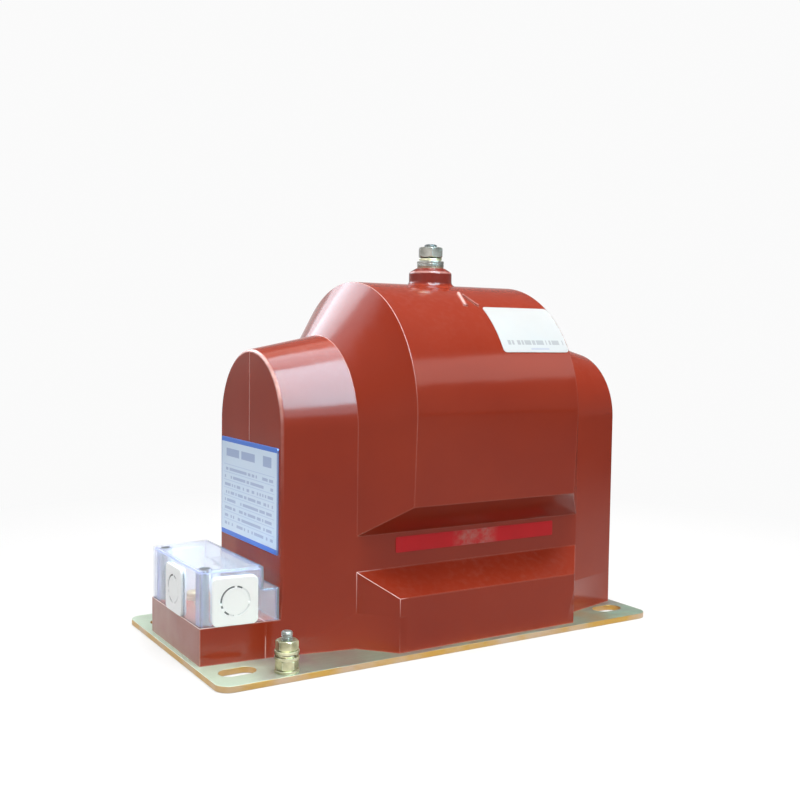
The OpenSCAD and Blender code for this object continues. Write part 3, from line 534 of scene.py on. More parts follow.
@dataclass(frozen=True)
class RatingFinish:
    """Printed rating plate with plain bands, rules and bars in place of its words."""

    field: tuple = (0.620, 0.755, 0.920)
    cloud: tuple = (0.70, 0.78, 0.88)
    band: tuple = (0.060, 0.190, 0.680)
    ink: tuple = (0.190, 0.270, 0.520)
    rule: tuple = (0.400, 0.520, 0.760)
    side: tuple = (0.16, 0.24, 0.52)
    left: float = -0.0395
    bottom: float = 0.0578
    width: float = 0.079
    height: float = 0.058
    rows: float = 12.5
    cells: float = 44.0
    # Printed blocks: left, right, bottom and top, in shares of the plate.
    headings: tuple = ((0.10, 0.34, 0.81, 0.89), (0.38, 0.62, 0.81, 0.89), (0.76, 0.9, 0.8, 0.9))
    bands: tuple = ((0.0, 1.0, 0.955, 1.01), (0.0, 1.0, -0.01, 0.05))
    sides: tuple = ((-0.01, 0.014, -0.1, 1.1), (0.986, 1.01, -0.1, 1.1))

    def build(self, effects: Effects) -> Material:
        """Builds the material of the rating plate."""
        coat = Coating("rating plate", effects)
        sheet = coat.sheet
        _, y, z = sheet.axes(coat.coords)
        across = sheet.math("SUBTRACT", 1.0, sheet.remap(y, self.left, self.left + self.width))
        up = sheet.remap(z, self.bottom, self.bottom + self.height)
        row = sheet.math("MULTIPLY", up, self.rows)
        in_row = sheet.math("FRACT", row)
        bars = sheet.product(coat.filled(across, self.cells, sheet.math("FLOOR", row), 0.36),
                             sheet.math("GREATER_THAN", in_row, 0.3), sheet.math("LESS_THAN", in_row, 0.66),
                             coat.block(across, up, 0.07, 0.93, 0.1, 0.74), 0.55)
        rules = sheet.product(sheet.math("LESS_THAN", in_row, 0.09), coat.block(across, up, 0.05, 0.95, 0.1, 0.78), 0.6)
        cloud = coat.noise(45.0)
        colour = sheet.mix(sheet.remap(cloud, 0.3, 0.7, 0.0, 0.35), self.field, self.cloud)
        colour = sheet.mix(rules, sheet.mix(bars, colour, self.ink), self.rule)
        for blocks, share, tint in ((self.headings, 0.62, self.ink), (self.bands, 1.0, self.band),
                                    (self.sides, 0.8, self.side)):
            for corners in blocks:
                colour = sheet.mix(sheet.product(coat.block(across, up, *corners), share), colour, tint)
        # The roughness stays above 0.28, because a finish that crosses it shows faint lines in a denoised picture.
        return coat.feed({"Base Color": colour, "Metallic": 0.55,
                          "Roughness": sheet.remap(cloud, 0.3, 0.7, 0.285, 0.34)})


@dataclass(frozen=True)
class LabelFinish:
    """White film with a few faint bars near its lower edge."""

    paper: tuple = (0.530, 0.535, 0.535)
    cloud: tuple = (0.50, 0.505, 0.515)
    ink: tuple = (0.230, 0.220, 0.240)
    foot: tuple = (0.24, 0.25, 0.45)
    left: float = 0.0307
    width: float = 0.0487
    low_z: float = 0.1682
    high_z: float = 0.1944
    cells: float = 62.0
    row: float = 3.0

    def build(self, effects: Effects) -> Material:
        """Builds the material of the arch label."""
        coat = Coating("white label", effects)
        sheet = coat.sheet
        x, _, z = sheet.axes(coat.coords)
        across = sheet.remap(x, self.left, self.left + self.width)
        up = sheet.remap(z, self.low_z, self.high_z)
        bars = sheet.product(coat.block(across, up, 0.1, 0.96, 0.17, 0.27),
                             coat.filled(across, self.cells, self.row, 0.35), 0.6)
        foot = sheet.product(coat.block(across, up, 0.42, 0.7, 0.06, 0.1), 0.4)
        cloud = coat.noise(50.0)
        paper = sheet.mix(sheet.remap(cloud, 0.35, 0.7, 0.0, 0.5), self.paper, self.cloud)
        return coat.feed({
            "Base Color": sheet.mix(foot, sheet.mix(bars, paper, self.ink), self.foot),
            "Roughness": sheet.remap(cloud, 0.3, 0.7, 0.35, 0.5),
            "Normal": coat.relief(coat.noise(900.0, 2.0), 0.08, 0.00005)})


@dataclass(frozen=True)
class StripFinish:
    """Plain red film with a worn patch in its middle."""

    red: tuple = (0.560, 0.011, 0.015)
    deep: tuple = (0.470, 0.009, 0.012)
    bare: tuple = (0.420, 0.190, 0.150)
    patch_x: float = 0.024

    def build(self, effects: Effects) -> Material:
        """Builds the material of the recess strip."""
        coat = Coating("red strip", effects)
        sheet = coat.sheet
        broad, fine = coat.mottle(40.0, 700.0)
        far = sheet.math("ABSOLUTE", sheet.math("SUBTRACT", sheet.axes(coat.coords)[0], self.patch_x))
        scuff = sheet.product(sheet.remap(far, 0.008, 0.017, 1.0, 0.0),
                              sheet.remap(coat.noise(210.0, 5.0, 0.65), 0.40, 0.60, 0.15, 1.0), 0.7)
        return coat.feed({
            "Base Color": sheet.mix(scuff, sheet.mix(broad, self.deep, self.red), self.bare),
            "Roughness": sheet.remap(broad, 0.0, 1.0, 0.50, 0.60), "Specular IOR Level": 0.2,
            "Normal": coat.relief(fine, 0.06, 0.00005)})


@dataclass(frozen=True)
class HiddenFinish:
    """Board, strip steel and wound copper of the cast in pieces."""

    name: str
    light: tuple
    dark: tuple
    metallic: float
    roughness: float
    stretch: tuple

    def build(self, effects: Effects) -> Material:
        """Builds the material."""
        coat = Coating(self.name, effects)
        sheet = coat.sheet
        streak = coat.streak(self.stretch)
        broad, fine = coat.mottle(30.0, 900.0)
        base = sheet.mix(streak, self.dark, self.light)
        return coat.feed({
            "Base Color": sheet.mix(sheet.product(broad, 0.3), base, self.dark), "Metallic": self.metallic,
            "Roughness": sheet.math("ADD", self.roughness, sheet.product(fine, 0.1)),
            "Normal": coat.relief(streak, 0.3, 0.0002)})


class Paints:
    """Every material of the transformer, by its slot."""

    def __init__(self) -> None:
        """Builds the shared effects and then each material."""
        effects = Effects()
        self.tarnished = MetalFinish("tarnished zinc", (0.10, 0.10, 0.095), (0.05, 0.05, 0.05), (0.30, 0.30, 0.28),
                                     0.4, 0.45).build(effects)
        # A darker copy of brass: painted shade for the insert under the washers.
        self.shaded = MetalFinish("aged brass", (0.30, 0.20, 0.13), (0.15, 0.09, 0.06), (0.55, 0.42, 0.30),
                                0.6, 0.4).build(effects)
        finishes = {
            Slot.PLATE: PlateFinish(), Slot.RESIN: ResinFinish(),
            Slot.BRASS: MetalFinish("brass", (0.72, 0.58, 0.34), (0.46, 0.34, 0.17), (0.88, 0.78, 0.56)),
            Slot.ZINC: MetalFinish("bright zinc", (0.46, 0.45, 0.40), (0.09, 0.09, 0.075), (0.90, 0.90, 0.86)),
            Slot.YELLOW_ZINC: MetalFinish("yellow zinc", (0.88, 0.83, 0.55), (0.14, 0.135, 0.06), (0.98, 0.98, 0.88)),
            Slot.COVER: ClearFinish(), Slot.WHITE: MouldedFinish(), Slot.RATING: RatingFinish(),
            Slot.LABEL: LabelFinish(), Slot.STRIP: StripFinish(),
            Slot.CORE: HiddenFinish("core steel", (0.40, 0.41, 0.44), (0.22, 0.23, 0.25), 0.8, 0.4,
                                    (30.0, 3500.0, 30.0)),
            Slot.BAND: HiddenFinish("band steel", (0.58, 0.59, 0.60), (0.40, 0.41, 0.42), 0.9, 0.3,
                                    (60.0, 2500.0, 60.0)),
            Slot.BOARD: HiddenFinish("former board", (0.66, 0.53, 0.33), (0.50, 0.37, 0.20), 0.0, 0.6,
                                     (300.0, 90.0, 300.0)),
            Slot.COPPER: HiddenFinish("wound copper", (0.72, 0.36, 0.17), (0.42, 0.17, 0.07), 0.55, 0.35,
                                      (2200.0, 12.0, 12.0))}
        self.by_slot = {slot: finish.build(effects) for slot, finish in finishes.items()}

    def __getitem__(self, slot: Slot) -> Material:
        """Returns the material of a slot."""
        return self.by_slot[slot]


# ---------------------------------------------------------------------------
# Mesh work
# ---------------------------------------------------------------------------


def shift(x: float, y: float, z: float) -> Matrix:
    """Returns a move."""
    return Matrix.Translation((x, y, z))


def spin_z(degrees: float) -> Matrix:
    """Returns a turn about Z."""
    return Matrix.Rotation(math.radians(degrees), 4, "Z")


def near(place: float, goal: float) -> bool:
    """Says whether two places are the same."""
    return abs(place - goal) < NEAR


def add_object(name: str, data: object) -> Object:
    """Adds an object to the scene."""
    made = bpy.data.objects.new(name, data)
    bpy.context.scene.collection.objects.link(made)
    return made


@dataclass(frozen=True)
class Ring:
    """One outline of a swept piece: a circle, or one pushed apart into a rounded rectangle."""

    radius: float
    height: float
    push_x: float = 0.0
    push_y: float = 0.0


class Workpiece:
    """A mesh in the making, in millimetres, shaped with mesh operators."""

    def __init__(self) -> None:
        """Starts with an empty mesh."""
        self.bm = bmesh.new()

    def chain(self, points: Sequence[Sequence[float]], closed: bool = False) -> list[BMEdge]:
        """Lays edges through points in order, and back to the first if closed, and returns them."""
        verts = [self.bm.verts.new(p) for p in points]
        pairs = list(zip(verts, verts[1:])) + ([(verts[-1], verts[0])] if closed else [])
        return [self.bm.edges.new(pair) for pair in pairs]

    def circle(self, centre: tuple, radius: float, push_x: float = 0.0, push_y: float = 0.0,
               segments: int = 32) -> list[BMEdge]:
        """Lays a circle at height zero, pushed apart from its centre, and returns its edges."""
        turn = shift(*centre, 0.0) @ Matrix.Rotation(math.pi / segments, 4, "Z")
        verts = bmesh.ops.create_circle(self.bm, cap_ends=False, radius=radius, segments=segments, matrix=turn)["verts"]
        for vert in verts:
            vert.co.x += math.copysign(push_x, vert.co.x - centre[0])
            vert.co.y += math.copysign(push_y, vert.co.y - centre[1])
        return list({e for v in verts for e in v.link_edges})

    def raise_edges(self, edges: Sequence[BMEdge], move: Callable[[BMVert], Vector]) -> list[BMEdge]:
        """Extrudes edges into faces.

        Args:
            edges: Edges to extrude.
            move: Gives each new vertex its place.

        Returns:
            The new edges at the far side.
        """
        made = bmesh.ops.extrude_edge_only(self.bm, edges=list(edges))["geom"]
        fresh = {g for g in made if isinstance(g, BMVert)}
        for vert in fresh:
            vert.co = move(vert)
        return [g for g in made if isinstance(g, BMEdge) and all(v in fresh for v in g.verts)]

    def raise_faces(self, faces: Iterable[BMFace]) -> list[BMVert]:
        """Extrudes a region of faces and returns the vertices of its far side."""
        made = bmesh.ops.extrude_face_region(self.bm, geom=list(faces))["geom"]
        return [g for g in made if isinstance(g, BMVert)]

    def fill(self, geom: Sequence) -> list[BMFace]:
        """Closes a loop of edges or vertices with a face and returns it."""
        return bmesh.ops.contextual_create(self.bm, geom=geom)["faces"]

    def sweep(self, rings: Sequence[Ring], segments: int = 64, shape: Optional[Callable] = None,
              cap_first: bool = True, cap_last: bool = True) -> "Workpiece":
        """Sweeps one round outline through several rings.

        Args:
            rings: The outlines in order.
            segments: Number of vertices round the outline.
            shape: Gives a vertex its final place from its number of the ring and its place.
            cap_first: Whether the first ring is closed.
            cap_last: Whether the last ring is closed.

        Returns:
            The workpiece itself.
        """
        tag = self.bm.verts.layers.float_vector.new("spoke")
        edges = self.circle((0.0, 0.0), 1.0, segments=segments)
        verts = {v for e in edges for v in e.verts}
        for vert in verts:
            vert[tag] = vert.co.copy()

        def seat(vert: BMVert, number: int) -> Vector:
            """Returns the place of a vertex on one ring."""
            ring, spoke = rings[number], vert[tag]
            spot = Vector((spoke.x * ring.radius + math.copysign(ring.push_x, spoke.x),
                           spoke.y * ring.radius + math.copysign(ring.push_y, spoke.y), ring.height))
            return shape(number, spot) if shape else spot

        for vert in verts:
            vert.co = seat(vert, 0)
        if cap_first:
            self.fill(edges)
        for number in range(1, len(rings)):
            edges = self.raise_edges(edges, lambda v, n=number: seat(v, n))
        if cap_last:
            self.fill(edges)
        return self

    def spin(self, edges: Sequence[BMEdge], steps: int, angle: float = 2 * math.pi, rise: float = 0.0,
             merge: bool = False) -> list[BMEdge]:
        """Spins edges round Z.

        Args:
            edges: Edges to spin.
            steps: Number of steps.
            angle: How far they go round, in radians.
            rise: Height that each step adds.
            merge: Whether the last step is merged with the first.

        Returns:
            The edges of the last step.
        """
        verts = list({v for e in edges for v in e.verts})
        made = bmesh.ops.spin(self.bm, geom=[*verts, *edges], cent=ORIGIN, axis=Z_AXIS, dvec=(0, 0, rise),
                              angle=angle, steps=steps, use_merge=merge, use_duplicate=False)
        return [g for g in made["geom_last"] if isinstance(g, BMEdge)]

    def turn(self, profile: Sequence[tuple], segments: int = 64, closed: bool = False) -> "Workpiece":
        """Spins a profile of radius and height pairs all the way round Z and returns the workpiece."""
        self.spin(self.chain([(r, 0.0, z) for r, z in profile], closed), segments, merge=True)
        bmesh.ops.remove_doubles(self.bm, verts=self.bm.verts, dist=MERGE)
        return self

    def box(self, x: float, y: float, z: float) -> "Workpiece":
        """Adds a box round the origin and returns the workpiece."""
        bmesh.ops.create_cube(self.bm, size=1.0, matrix=Matrix.Diagonal((x, y, z, 1.0)))
        return self

    def split(self, point: Sequence[float], normal: Sequence[float], clear: bool = False) -> list[BMEdge]:
        """Cuts every face along a plane, clears what lies beyond it if asked, and returns the edges of the cut."""
        made = bmesh.ops.bisect_plane(self.bm, geom=[*self.bm.verts, *self.bm.edges, *self.bm.faces], dist=1e-4,
                                      plane_co=point, plane_no=normal, clear_outer=clear)
        return [g for g in made["geom_cut"] if isinstance(g, BMEdge)]

    def tidy(self) -> "Workpiece":
        """Merges doubles, turns every face outwards and returns the workpiece."""
        bmesh.ops.remove_doubles(self.bm, verts=self.bm.verts, dist=MERGE)
        bmesh.ops.dissolve_degenerate(self.bm, edges=self.bm.edges, dist=SHORTEST)
        bmesh.ops.recalc_face_normals(self.bm, faces=self.bm.faces)
        return self

    def bevel(self, offset: float, segments: int = 2, angle: float = 30.0,
              keep: Optional[Callable[[BMEdge], bool]] = None) -> "Workpiece":
        """Rounds sharp edges.

        Args:
            offset: Width of the rounding.
            segments: Number of faces across it.
            angle: Least angle between the faces of an edge, in degrees.
            keep: Says which of the sharp edges are rounded.

        Returns:
            The workpiece itself.
        """
        limit = math.radians(angle)
        edges = [e for e in self.bm.edges if len(e.link_faces) == 2 and e.calc_face_angle(0.0) > limit
                 and (keep is None or keep(e))]
        bmesh.ops.bevel(self.bm, geom=edges, offset=offset, offset_type="OFFSET", segments=segments, profile=0.5,
                        affect="EDGES", clamp_overlap=True, material=-1)
        return self

    def stain(self, name: str, share: Callable[[Vector], float]) -> "Workpiece":
        """Gives each vertex a number from its place, for a finish to read by name, and returns the workpiece."""
        layer = self.bm.verts.layers.float.new(name)
        for vert in self.bm.verts:
            vert[layer] = share(vert.co)
        return self

    def place(self, matrix: Matrix) -> "Workpiece":
        """Moves the whole mesh and returns the workpiece."""
        self.bm.transform(matrix)
        return self

    def mesh(self, name: str) -> Mesh:
        """Writes the workpiece to a mesh, which ends it."""
        made = bpy.data.meshes.new(name)
        self.bm.to_mesh(made)
        self.bm.free()
        return made

    def absorb(self, *others: "Workpiece") -> "Workpiece":
        """Takes over the meshes of other workpieces and returns itself."""
        for other in others:
            carrier = other.mesh("carrier")
            self.bm.from_mesh(carrier)
            bpy.data.meshes.remove(carrier)
        return self

    def finish(self, name: str, slot: Slot, paints: Paints, node: str, sharp: float = 32.0,
               material: Optional[Material] = None) -> None:
        """Makes the finished piece, at the origin with its place in its mesh, and hands it to the frame.

        Args:
            name: Name of the piece.
            slot: Its material slot.
            paints: The materials.
            node: The node that it stands for.
            sharp: Angle in degrees from which an edge stays sharp.
            material: Material in place of the slot's own, such as a tarnished one.
        """
        self.bm.transform(Matrix.Scale(MM, 4))
        for face in self.bm.faces:
            face.smooth = True
        mesh = self.mesh(name)
        mesh.set_sharp_from_angle(angle=math.radians(sharp))
        made = add_object(name, mesh)
        mesh.materials.append(material or paints[slot])
        weighted = made.modifiers.new("weighted normals", "WEIGHTED_NORMAL")
        weighted.keep_sharp = True
        weighted.weight = 80
        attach(made, ROOT)
        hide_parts(node)
        LOG.info("%s: %d faces, %s", name, len(mesh.polygons), slot.value)


# ---------------------------------------------------------------------------
# Sub-assemblies
# ---------------------------------------------------------------------------


@dataclass
class Casting:
    """The one piece resin body."""

    paints: Paints
    block_x: float = 23.2
    block_half_l: float = 56.7
    shoulder_l: float = 22.5
    block_r: float = 76.0
    block_z: float = 132.5
    skirt_z: float = 60.5
    skirt_r: float = 72.734
    low_z: float = 125.5
    low_r: float = 51.0
    left_x: float = -98.0
    left_r: float = 42.5
    right_x: float = 141.0
    right_r: float = 41.0
    floor_z: float = 3.5
    recess_top: float = 66.5
    wall_top: float = 84.0
    underside: float = 17.5 / 22.8
    ledge_w: float = 69.8
    ledge_edge: float = 33.7
    ledge_back: float = 46.5
    ledge_end_l: float = 16.9
    # rim_highlight_z: heights over which the painted highlight on the shoulder creases grows to full.
    rim_highlight_z: tuple = (138.0, 184.0)
    step_z: float = 23.6
    step_x: float = -142.0
    step_w: float = 38.0
    end_round: float = 1.7
    edge_round: float = 1.05
    boss_r: float = 13.3
    boss_shoulder: float = 216.5
    boss_top: float = 218.8
    boss_top_r: float = 9.0
    foot_r: float = 2.6
    foot_turns: int = 7
    arch_steps: int = 72
    seam_depth: float = 0.12
    end_seam_z: float = 116.6
    hoop_x: float = -106.3
    hoop_corner: float = 0.7
    # For each bar of the mark: place along X, degrees round the arch, lean, length, width, strength of its painted
    # highlight.
    mark_bars: tuple = ((21.9, 28.9, -15.8, 17.0, 2.4, 1.0), (26.9, 29.9, 15.0, 14.0, 1.5, 0.2))

    @property
    def inner(self) -> float:
        """Where the left shoulder starts along X."""
        return self.block_x - self.block_half_l - self.shoulder_l

    @property
    def outer(self) -> float:
        """Where the right shoulder ends along X."""
        return self.block_x + self.block_half_l + self.shoulder_l

    def half_width(self, x: float) -> float:
        """Returns the half width of the low part at a place along X."""
        if x <= self.inner:
            return self.left_r + (self.low_r - self.left_r) * (x - self.left_x) / (self.inner - self.left_x)
        if x >= self.outer:
            return self.low_r + (self.right_r - self.low_r) * (x - self.outer) / (self.right_x - self.outer)
        return self.low_r

    def outline(self, x: float) -> list[Vector]:
        """Returns the outline of the body across X, from the front foot over the arch to the back foot."""
        within = self.block_half_l + self.shoulder_l - abs(x - self.block_x)
        rise = min(1.0, max(0.0, within / self.shoulder_l))
        wall = self.half_width(x)
        axis = self.low_z + (self.block_z - self.low_z) * rise
        radius = wall + (self.block_r - self.low_r) * rise
        if within >= -1e-6:
            ledge = self.low_r + (self.ledge_w - self.low_r) * min(1.0, within / self.ledge_end_l)
            slope = (self.ledge_back - self.ledge_edge) / (self.ledge_w - self.low_r)
            foot = self.low_r + (self.skirt_r - self.low_r) * rise
            lean = (radius - foot) / (axis - self.skirt_z)
            edge = (foot + lean * (self.recess_top - self.underside * self.low_r - self.skirt_z)) / (
                1 - lean * self.underside)
            side = [(ledge, self.floor_z), (ledge, self.step_z),
                    (ledge, self.ledge_back - slope * (ledge - self.low_r)),
                    (self.low_r, self.ledge_back), (self.low_r, self.recess_top),
                    (edge, self.recess_top + self.underside * (edge - self.low_r))]
        else:
            side = [(wall, z) for z in (self.floor_z, self.step_z, self.ledge_edge, self.ledge_back, self.recess_top,
                                        self.wall_top)]
        turns = [math.pi * k / self.arch_steps for k in range(self.arch_steps + 1)]
        arch = [(radius * math.cos(a), axis + radius * math.sin(a)) for a in turns]
        return [Vector((x, -w, z)) for w, z in side + arch] + [Vector((x, w, z)) for w, z in reversed(side)]

    def body(self) -> Workpiece:
        """Lofts the body through its outlines, closes it and draws out the terminal block."""
        work = Workpiece()
        stations = [self.left_x, self.inner, self.inner + self.ledge_end_l, self.inner + self.shoulder_l,
                    self.outer - self.shoulder_l, self.outer - self.ledge_end_l, self.outer, self.right_x]
        number = work.bm.verts.layers.int.new("station")
        start = edges = work.chain(self.outline(stations[0]), closed=True)
        for index, vert in enumerate(work.bm.verts):
            vert[number] = index
        for x in stations[1:]:
            edges = work.raise_edges(edges, lambda v, t=self.outline(x): t[v[number]])
        work.fill(edges)
        feet = sorted((v for e in start for v in e.verts if near(v.co.z, self.step_z)), key=lambda v: v.co.y)
        across = work.bm.edges.new((feet[0], feet[-1]))
        low = [e for e in start if max(v.co.z for v in e.verts) < self.step_z + NEAR] + [across]
        high = [e for e in start if e not in low] + [across]
        step = work.fill(low)
        work.fill(high)
        for vert in work.raise_faces(step):
            vert.co.x = self.step_x
            vert.co.y *= self.step_w / self.left_r
        bmesh.ops.delete(work.bm, geom=step, context="FACES_ONLY")

        def on_end(edge: BMEdge) -> bool:
            """Says whether an edge is on the rim of the left end face."""
            return all(near(v.co.x, self.left_x) and v.co.z > self.step_z for v in edge.verts)

        def is_long(edge: BMEdge) -> bool:
            """Says whether an edge is none of the short ones that the first rounding left, nor on the floor."""
            clear = (max(v.co.x for v in edge.verts) > self.left_x + 1.8
                     or max(v.co.z for v in edge.verts) < self.step_z + 0.1)
            return edge.calc_length() > 1.2 and min(v.co.z for v in edge.verts) > self.floor_z + NEAR and clear

        work.tidy().bevel(self.end_round, 3, 34.0, on_end).bevel(self.edge_round, 3, 14.0, is_long)
        self.paint_rim_highlights(work)
        return work

    def paint_rim_highlights(self, work: Workpiece) -> None:
        """Marks the middle of the rounded edges that get a painted highlight, some stronger higher up, for the finish
        to read.
        """
        crown = self.inner + self.shoulder_l
        start = Vector((self.inner, -self.low_r, self.ledge_back))
        end = Vector((self.inner + self.ledge_end_l, -self.ledge_w, self.ledge_edge))
        along = (end - start).normalized()
        layer = work.bm.verts.layers.float.new("rim")

        def narrow(face: BMFace) -> bool:
            """Says whether a face is a thin strip of a rounded edge."""
            return face.calc_area() < 0.6 * max(e.calc_length() for e in face.edges)

        highlight_low, highlight_high = self.rim_highlight_z
        for vert in work.bm.verts:
            spot = vert.co
            # The rounded rim of the left end face gets a painted highlight, stronger higher up.
            if 0.1 < spot.x - self.left_x < 1.6 and spot.z > self.low_z - 8:
                vert[layer] = max(0.15, min(1.0, (spot.z - self.low_z) / 24))
            if not all(narrow(f) for f in vert.link_faces):
                continue
            crest = math.hypot(spot.x - crown, math.hypot(spot.y, spot.z - self.block_z) - self.block_r)
            valley = math.hypot(spot.x - self.inner, math.hypot(spot.y, spot.z - self.low_z) - self.low_r)
            ledge = ((spot - start) - along * (spot - start).dot(along)).length
            # Painted highlight on the top edge of the terminal block, on the shoulder creases (stronger higher up) and
            # on the left edge of the ledge.
            if spot.x < self.left_x - 0.5 and abs(spot.z - self.step_z) < 1.0:
                vert[layer] = 0.9
            elif min(crest, valley) < 0.8 and spot.z > self.low_z - 5:
                vert[layer] = 0.85 * min(1.0, max(0.15, (spot.z - highlight_low) / (highlight_high - highlight_low)))
            elif ledge < 0.9 and start.x - 0.6 < spot.x < end.x + 0.6 and spot.z > end.z - 0.35:
                vert[layer] = 1.0

    def boss(self) -> Workpiece:
        """Turns the terminal boss and flares its foot onto the arch."""
        turns = [math.pi / 2 * k / self.foot_turns for k in range(self.foot_turns + 1)]
        rings = [Ring(self.boss_r + self.foot_r * (1 - math.sin(a)), self.foot_r * (1 - math.cos(a))) for a in turns]
        cone = (self.boss_top - self.boss_shoulder) / (self.boss_r - self.boss_top_r)
        rings += [Ring(self.boss_r - r, self.boss_shoulder + z)
                  for r, z in ((0.0, -1.4), (0.12, -0.7), (0.5, -0.1), (1.1, 0.42))]
        rings += [Ring(self.boss_top_r + r, self.boss_top + z)
                  for r, z in ((0.8, 0.06 - 0.8 * cone), (0.2, -0.04), (-0.4, 0.0))]

        def settle(number: int, spot: Vector) -> Vector:
            """Sets the rings of the foot on the arch."""
            if number < len(turns):
                spot.z += self.block_z + math.sqrt(self.block_r ** 2 - spot.y ** 2) - 0.04
            return spot

        work = Workpiece().sweep(rings, 96, settle, cap_first=False).tidy()
        # The shoulder of the boss gets a painted highlight ring.
        work.stain("rim", lambda spot: 0.6 if -0.8 < spot.z - self.boss_shoulder < 0.2 else 0.0)
        return work.place(shift(self.block_x, 0, 0))

    def seam(self, path: Sequence[Vector], out: Sequence[Vector], across: Vector, width: float = 0.7,
             proud: float = 0.16) -> Workpiece:
        """Lays a fine mould seam along a path.

        Args:
            path: Points on the surface.
            out: Outward direction at each point.
            across: Direction across the seam.
            width: Width of the seam.
            proud: Height of the seam.

        Returns:
            The seam as a workpiece.
        """
        work = Workpiece()
        shape = ((-width / 2, -self.seam_depth), (-width / 5, proud), (width / 5, proud), (width / 2, -self.seam_depth))
        layer = work.bm.verts.layers.int.new("corner")
        edges = work.chain([path[0] + across * s + out[0] * h for s, h in shape])
        for index, vert in enumerate(work.bm.verts):
            vert[layer] = index
        for point, normal in list(zip(path, out))[1:]:
            edges = work.raise_edges(edges, lambda v, p=point, n=normal: p + across * shape[v[layer]][0]
                                     + n * shape[v[layer]][1])
        # The seam on the left end face gets a painted highlight.
        return work.tidy().stain("rim", lambda spot: 0.45 if spot.x < self.left_x + 0.6 else 0.0)

    def seams(self) -> list[Workpiece]:
        """Lays the seams down the middle of both end faces and round the terminal block."""
        left = [Vector((self.left_x, 0.0, z)) for z in (self.end_seam_z, self.low_z + self.left_r - 1.0)]
        right = [Vector((self.right_x, 0.0, z)) for z in (self.low_z + self.right_r - 1.0, self.floor_z + 1.0)]
        across = Vector((0, 1, 0))
        share = (self.hoop_x - self.step_x) / (self.left_x - self.step_x)
        half = self.step_w + (self.left_r - self.step_w) * share
        # Along the hoop: half width, height, and the outward direction to the side and up.
        side = ((half, self.floor_z, 1, 0), (half, self.step_z - self.hoop_corner, 1, 0.3),
                (half - self.hoop_corner, self.step_z, 0.3, 1))
        rows = [(-1, row) for row in side] + [(1, row) for row in reversed(side)]
        hoop = [Vector((self.hoop_x, sign * w, z)) for sign, (w, z, _, _) in rows]
        out = [Vector((0, sign * y, up)).normalized() for sign, (_, _, y, up) in rows]
        return [self.seam(left, [Vector((-1, 0, 0))] * 2, across), self.seam(right, [Vector((1, 0, 0))] * 2, across),
                self.seam(hoop, out, Vector((1, 0, 0)), 0.8, 0.14)]

    def mark(self) -> list[Workpiece]:
        """Raises a plain chevron mark beside the arch label."""
        bars = []
        for centre_x, angle, lean, length, wide, share in self.mark_bars:
            bar = Workpiece().box(wide, length, 2.2).bevel(0.5, 3)
            # The top and left side of each bar get a painted highlight.
            bar.stain("rim", lambda spot, s=share: s if spot.z > 0.5 and spot.x < 0.3 else 0.0)
            tip = math.radians(angle)
            spot = Vector((centre_x, -self.block_r * math.sin(tip), self.block_z + self.block_r * math.cos(tip)))
            bars.append(bar.place(Matrix.Translation(spot) @ Matrix.Rotation(tip, 4, "X") @ spin_z(lean)
                                  @ shift(0, 0, -0.12)))
        return bars

    def build(self) -> None:
        """Builds the whole casting as one piece."""
        work = self.body().absorb(self.boss(), *self.seams(), *self.mark())
        work.finish("resin_casting", Slot.RESIN, self.paints, "resin_body", sharp=40.0)


@dataclass
class Baseplate:
    """The steel plate with its slots."""

    paints: Paints
    length: float = 290.0
    width: float = 148.0
    thick: float = 3.5
    corner: float = 8.0
    slots: tuple = ((127.5, 54.0), (127.5, -54.0), (-127.5, 54.0), (-127.5, -54.0))
    slot_r: float = 6.0
    slot_push: float = 4.0
    screws: tuple = ((-75.0, 27.0), (-75.0, -27.0), (120.0, 27.0), (120.0, -27.0))
    screw_r: float = 5.85
    stud: tuple = (-105.5, -66.5)
    stud_r: float = 4.55

    def build(self) -> None:
        """Builds the plate."""
        work = Workpiece()
        edges = work.circle((0.0, 0.0), self.corner, self.length / 2 - self.corner, self.width / 2 - self.corner, 64)
        for centre in self.slots:
            edges += work.circle(centre, self.slot_r, self.slot_push, 0.0, 40)
        for centre in self.screws:
            edges += work.circle(centre, self.screw_r)
        edges += work.circle(self.stud, self.stud_r)
        bmesh.ops.triangle_fill(work.bm, use_beauty=True, edges=edges)
        bmesh.ops.translate(work.bm, verts=work.raise_faces(work.bm.faces), vec=(0, 0, self.thick))
        work.tidy().bevel(0.45, 2, 60.0).finish("base_plate_pressed", Slot.PLATE, self.paints, "base_plate")


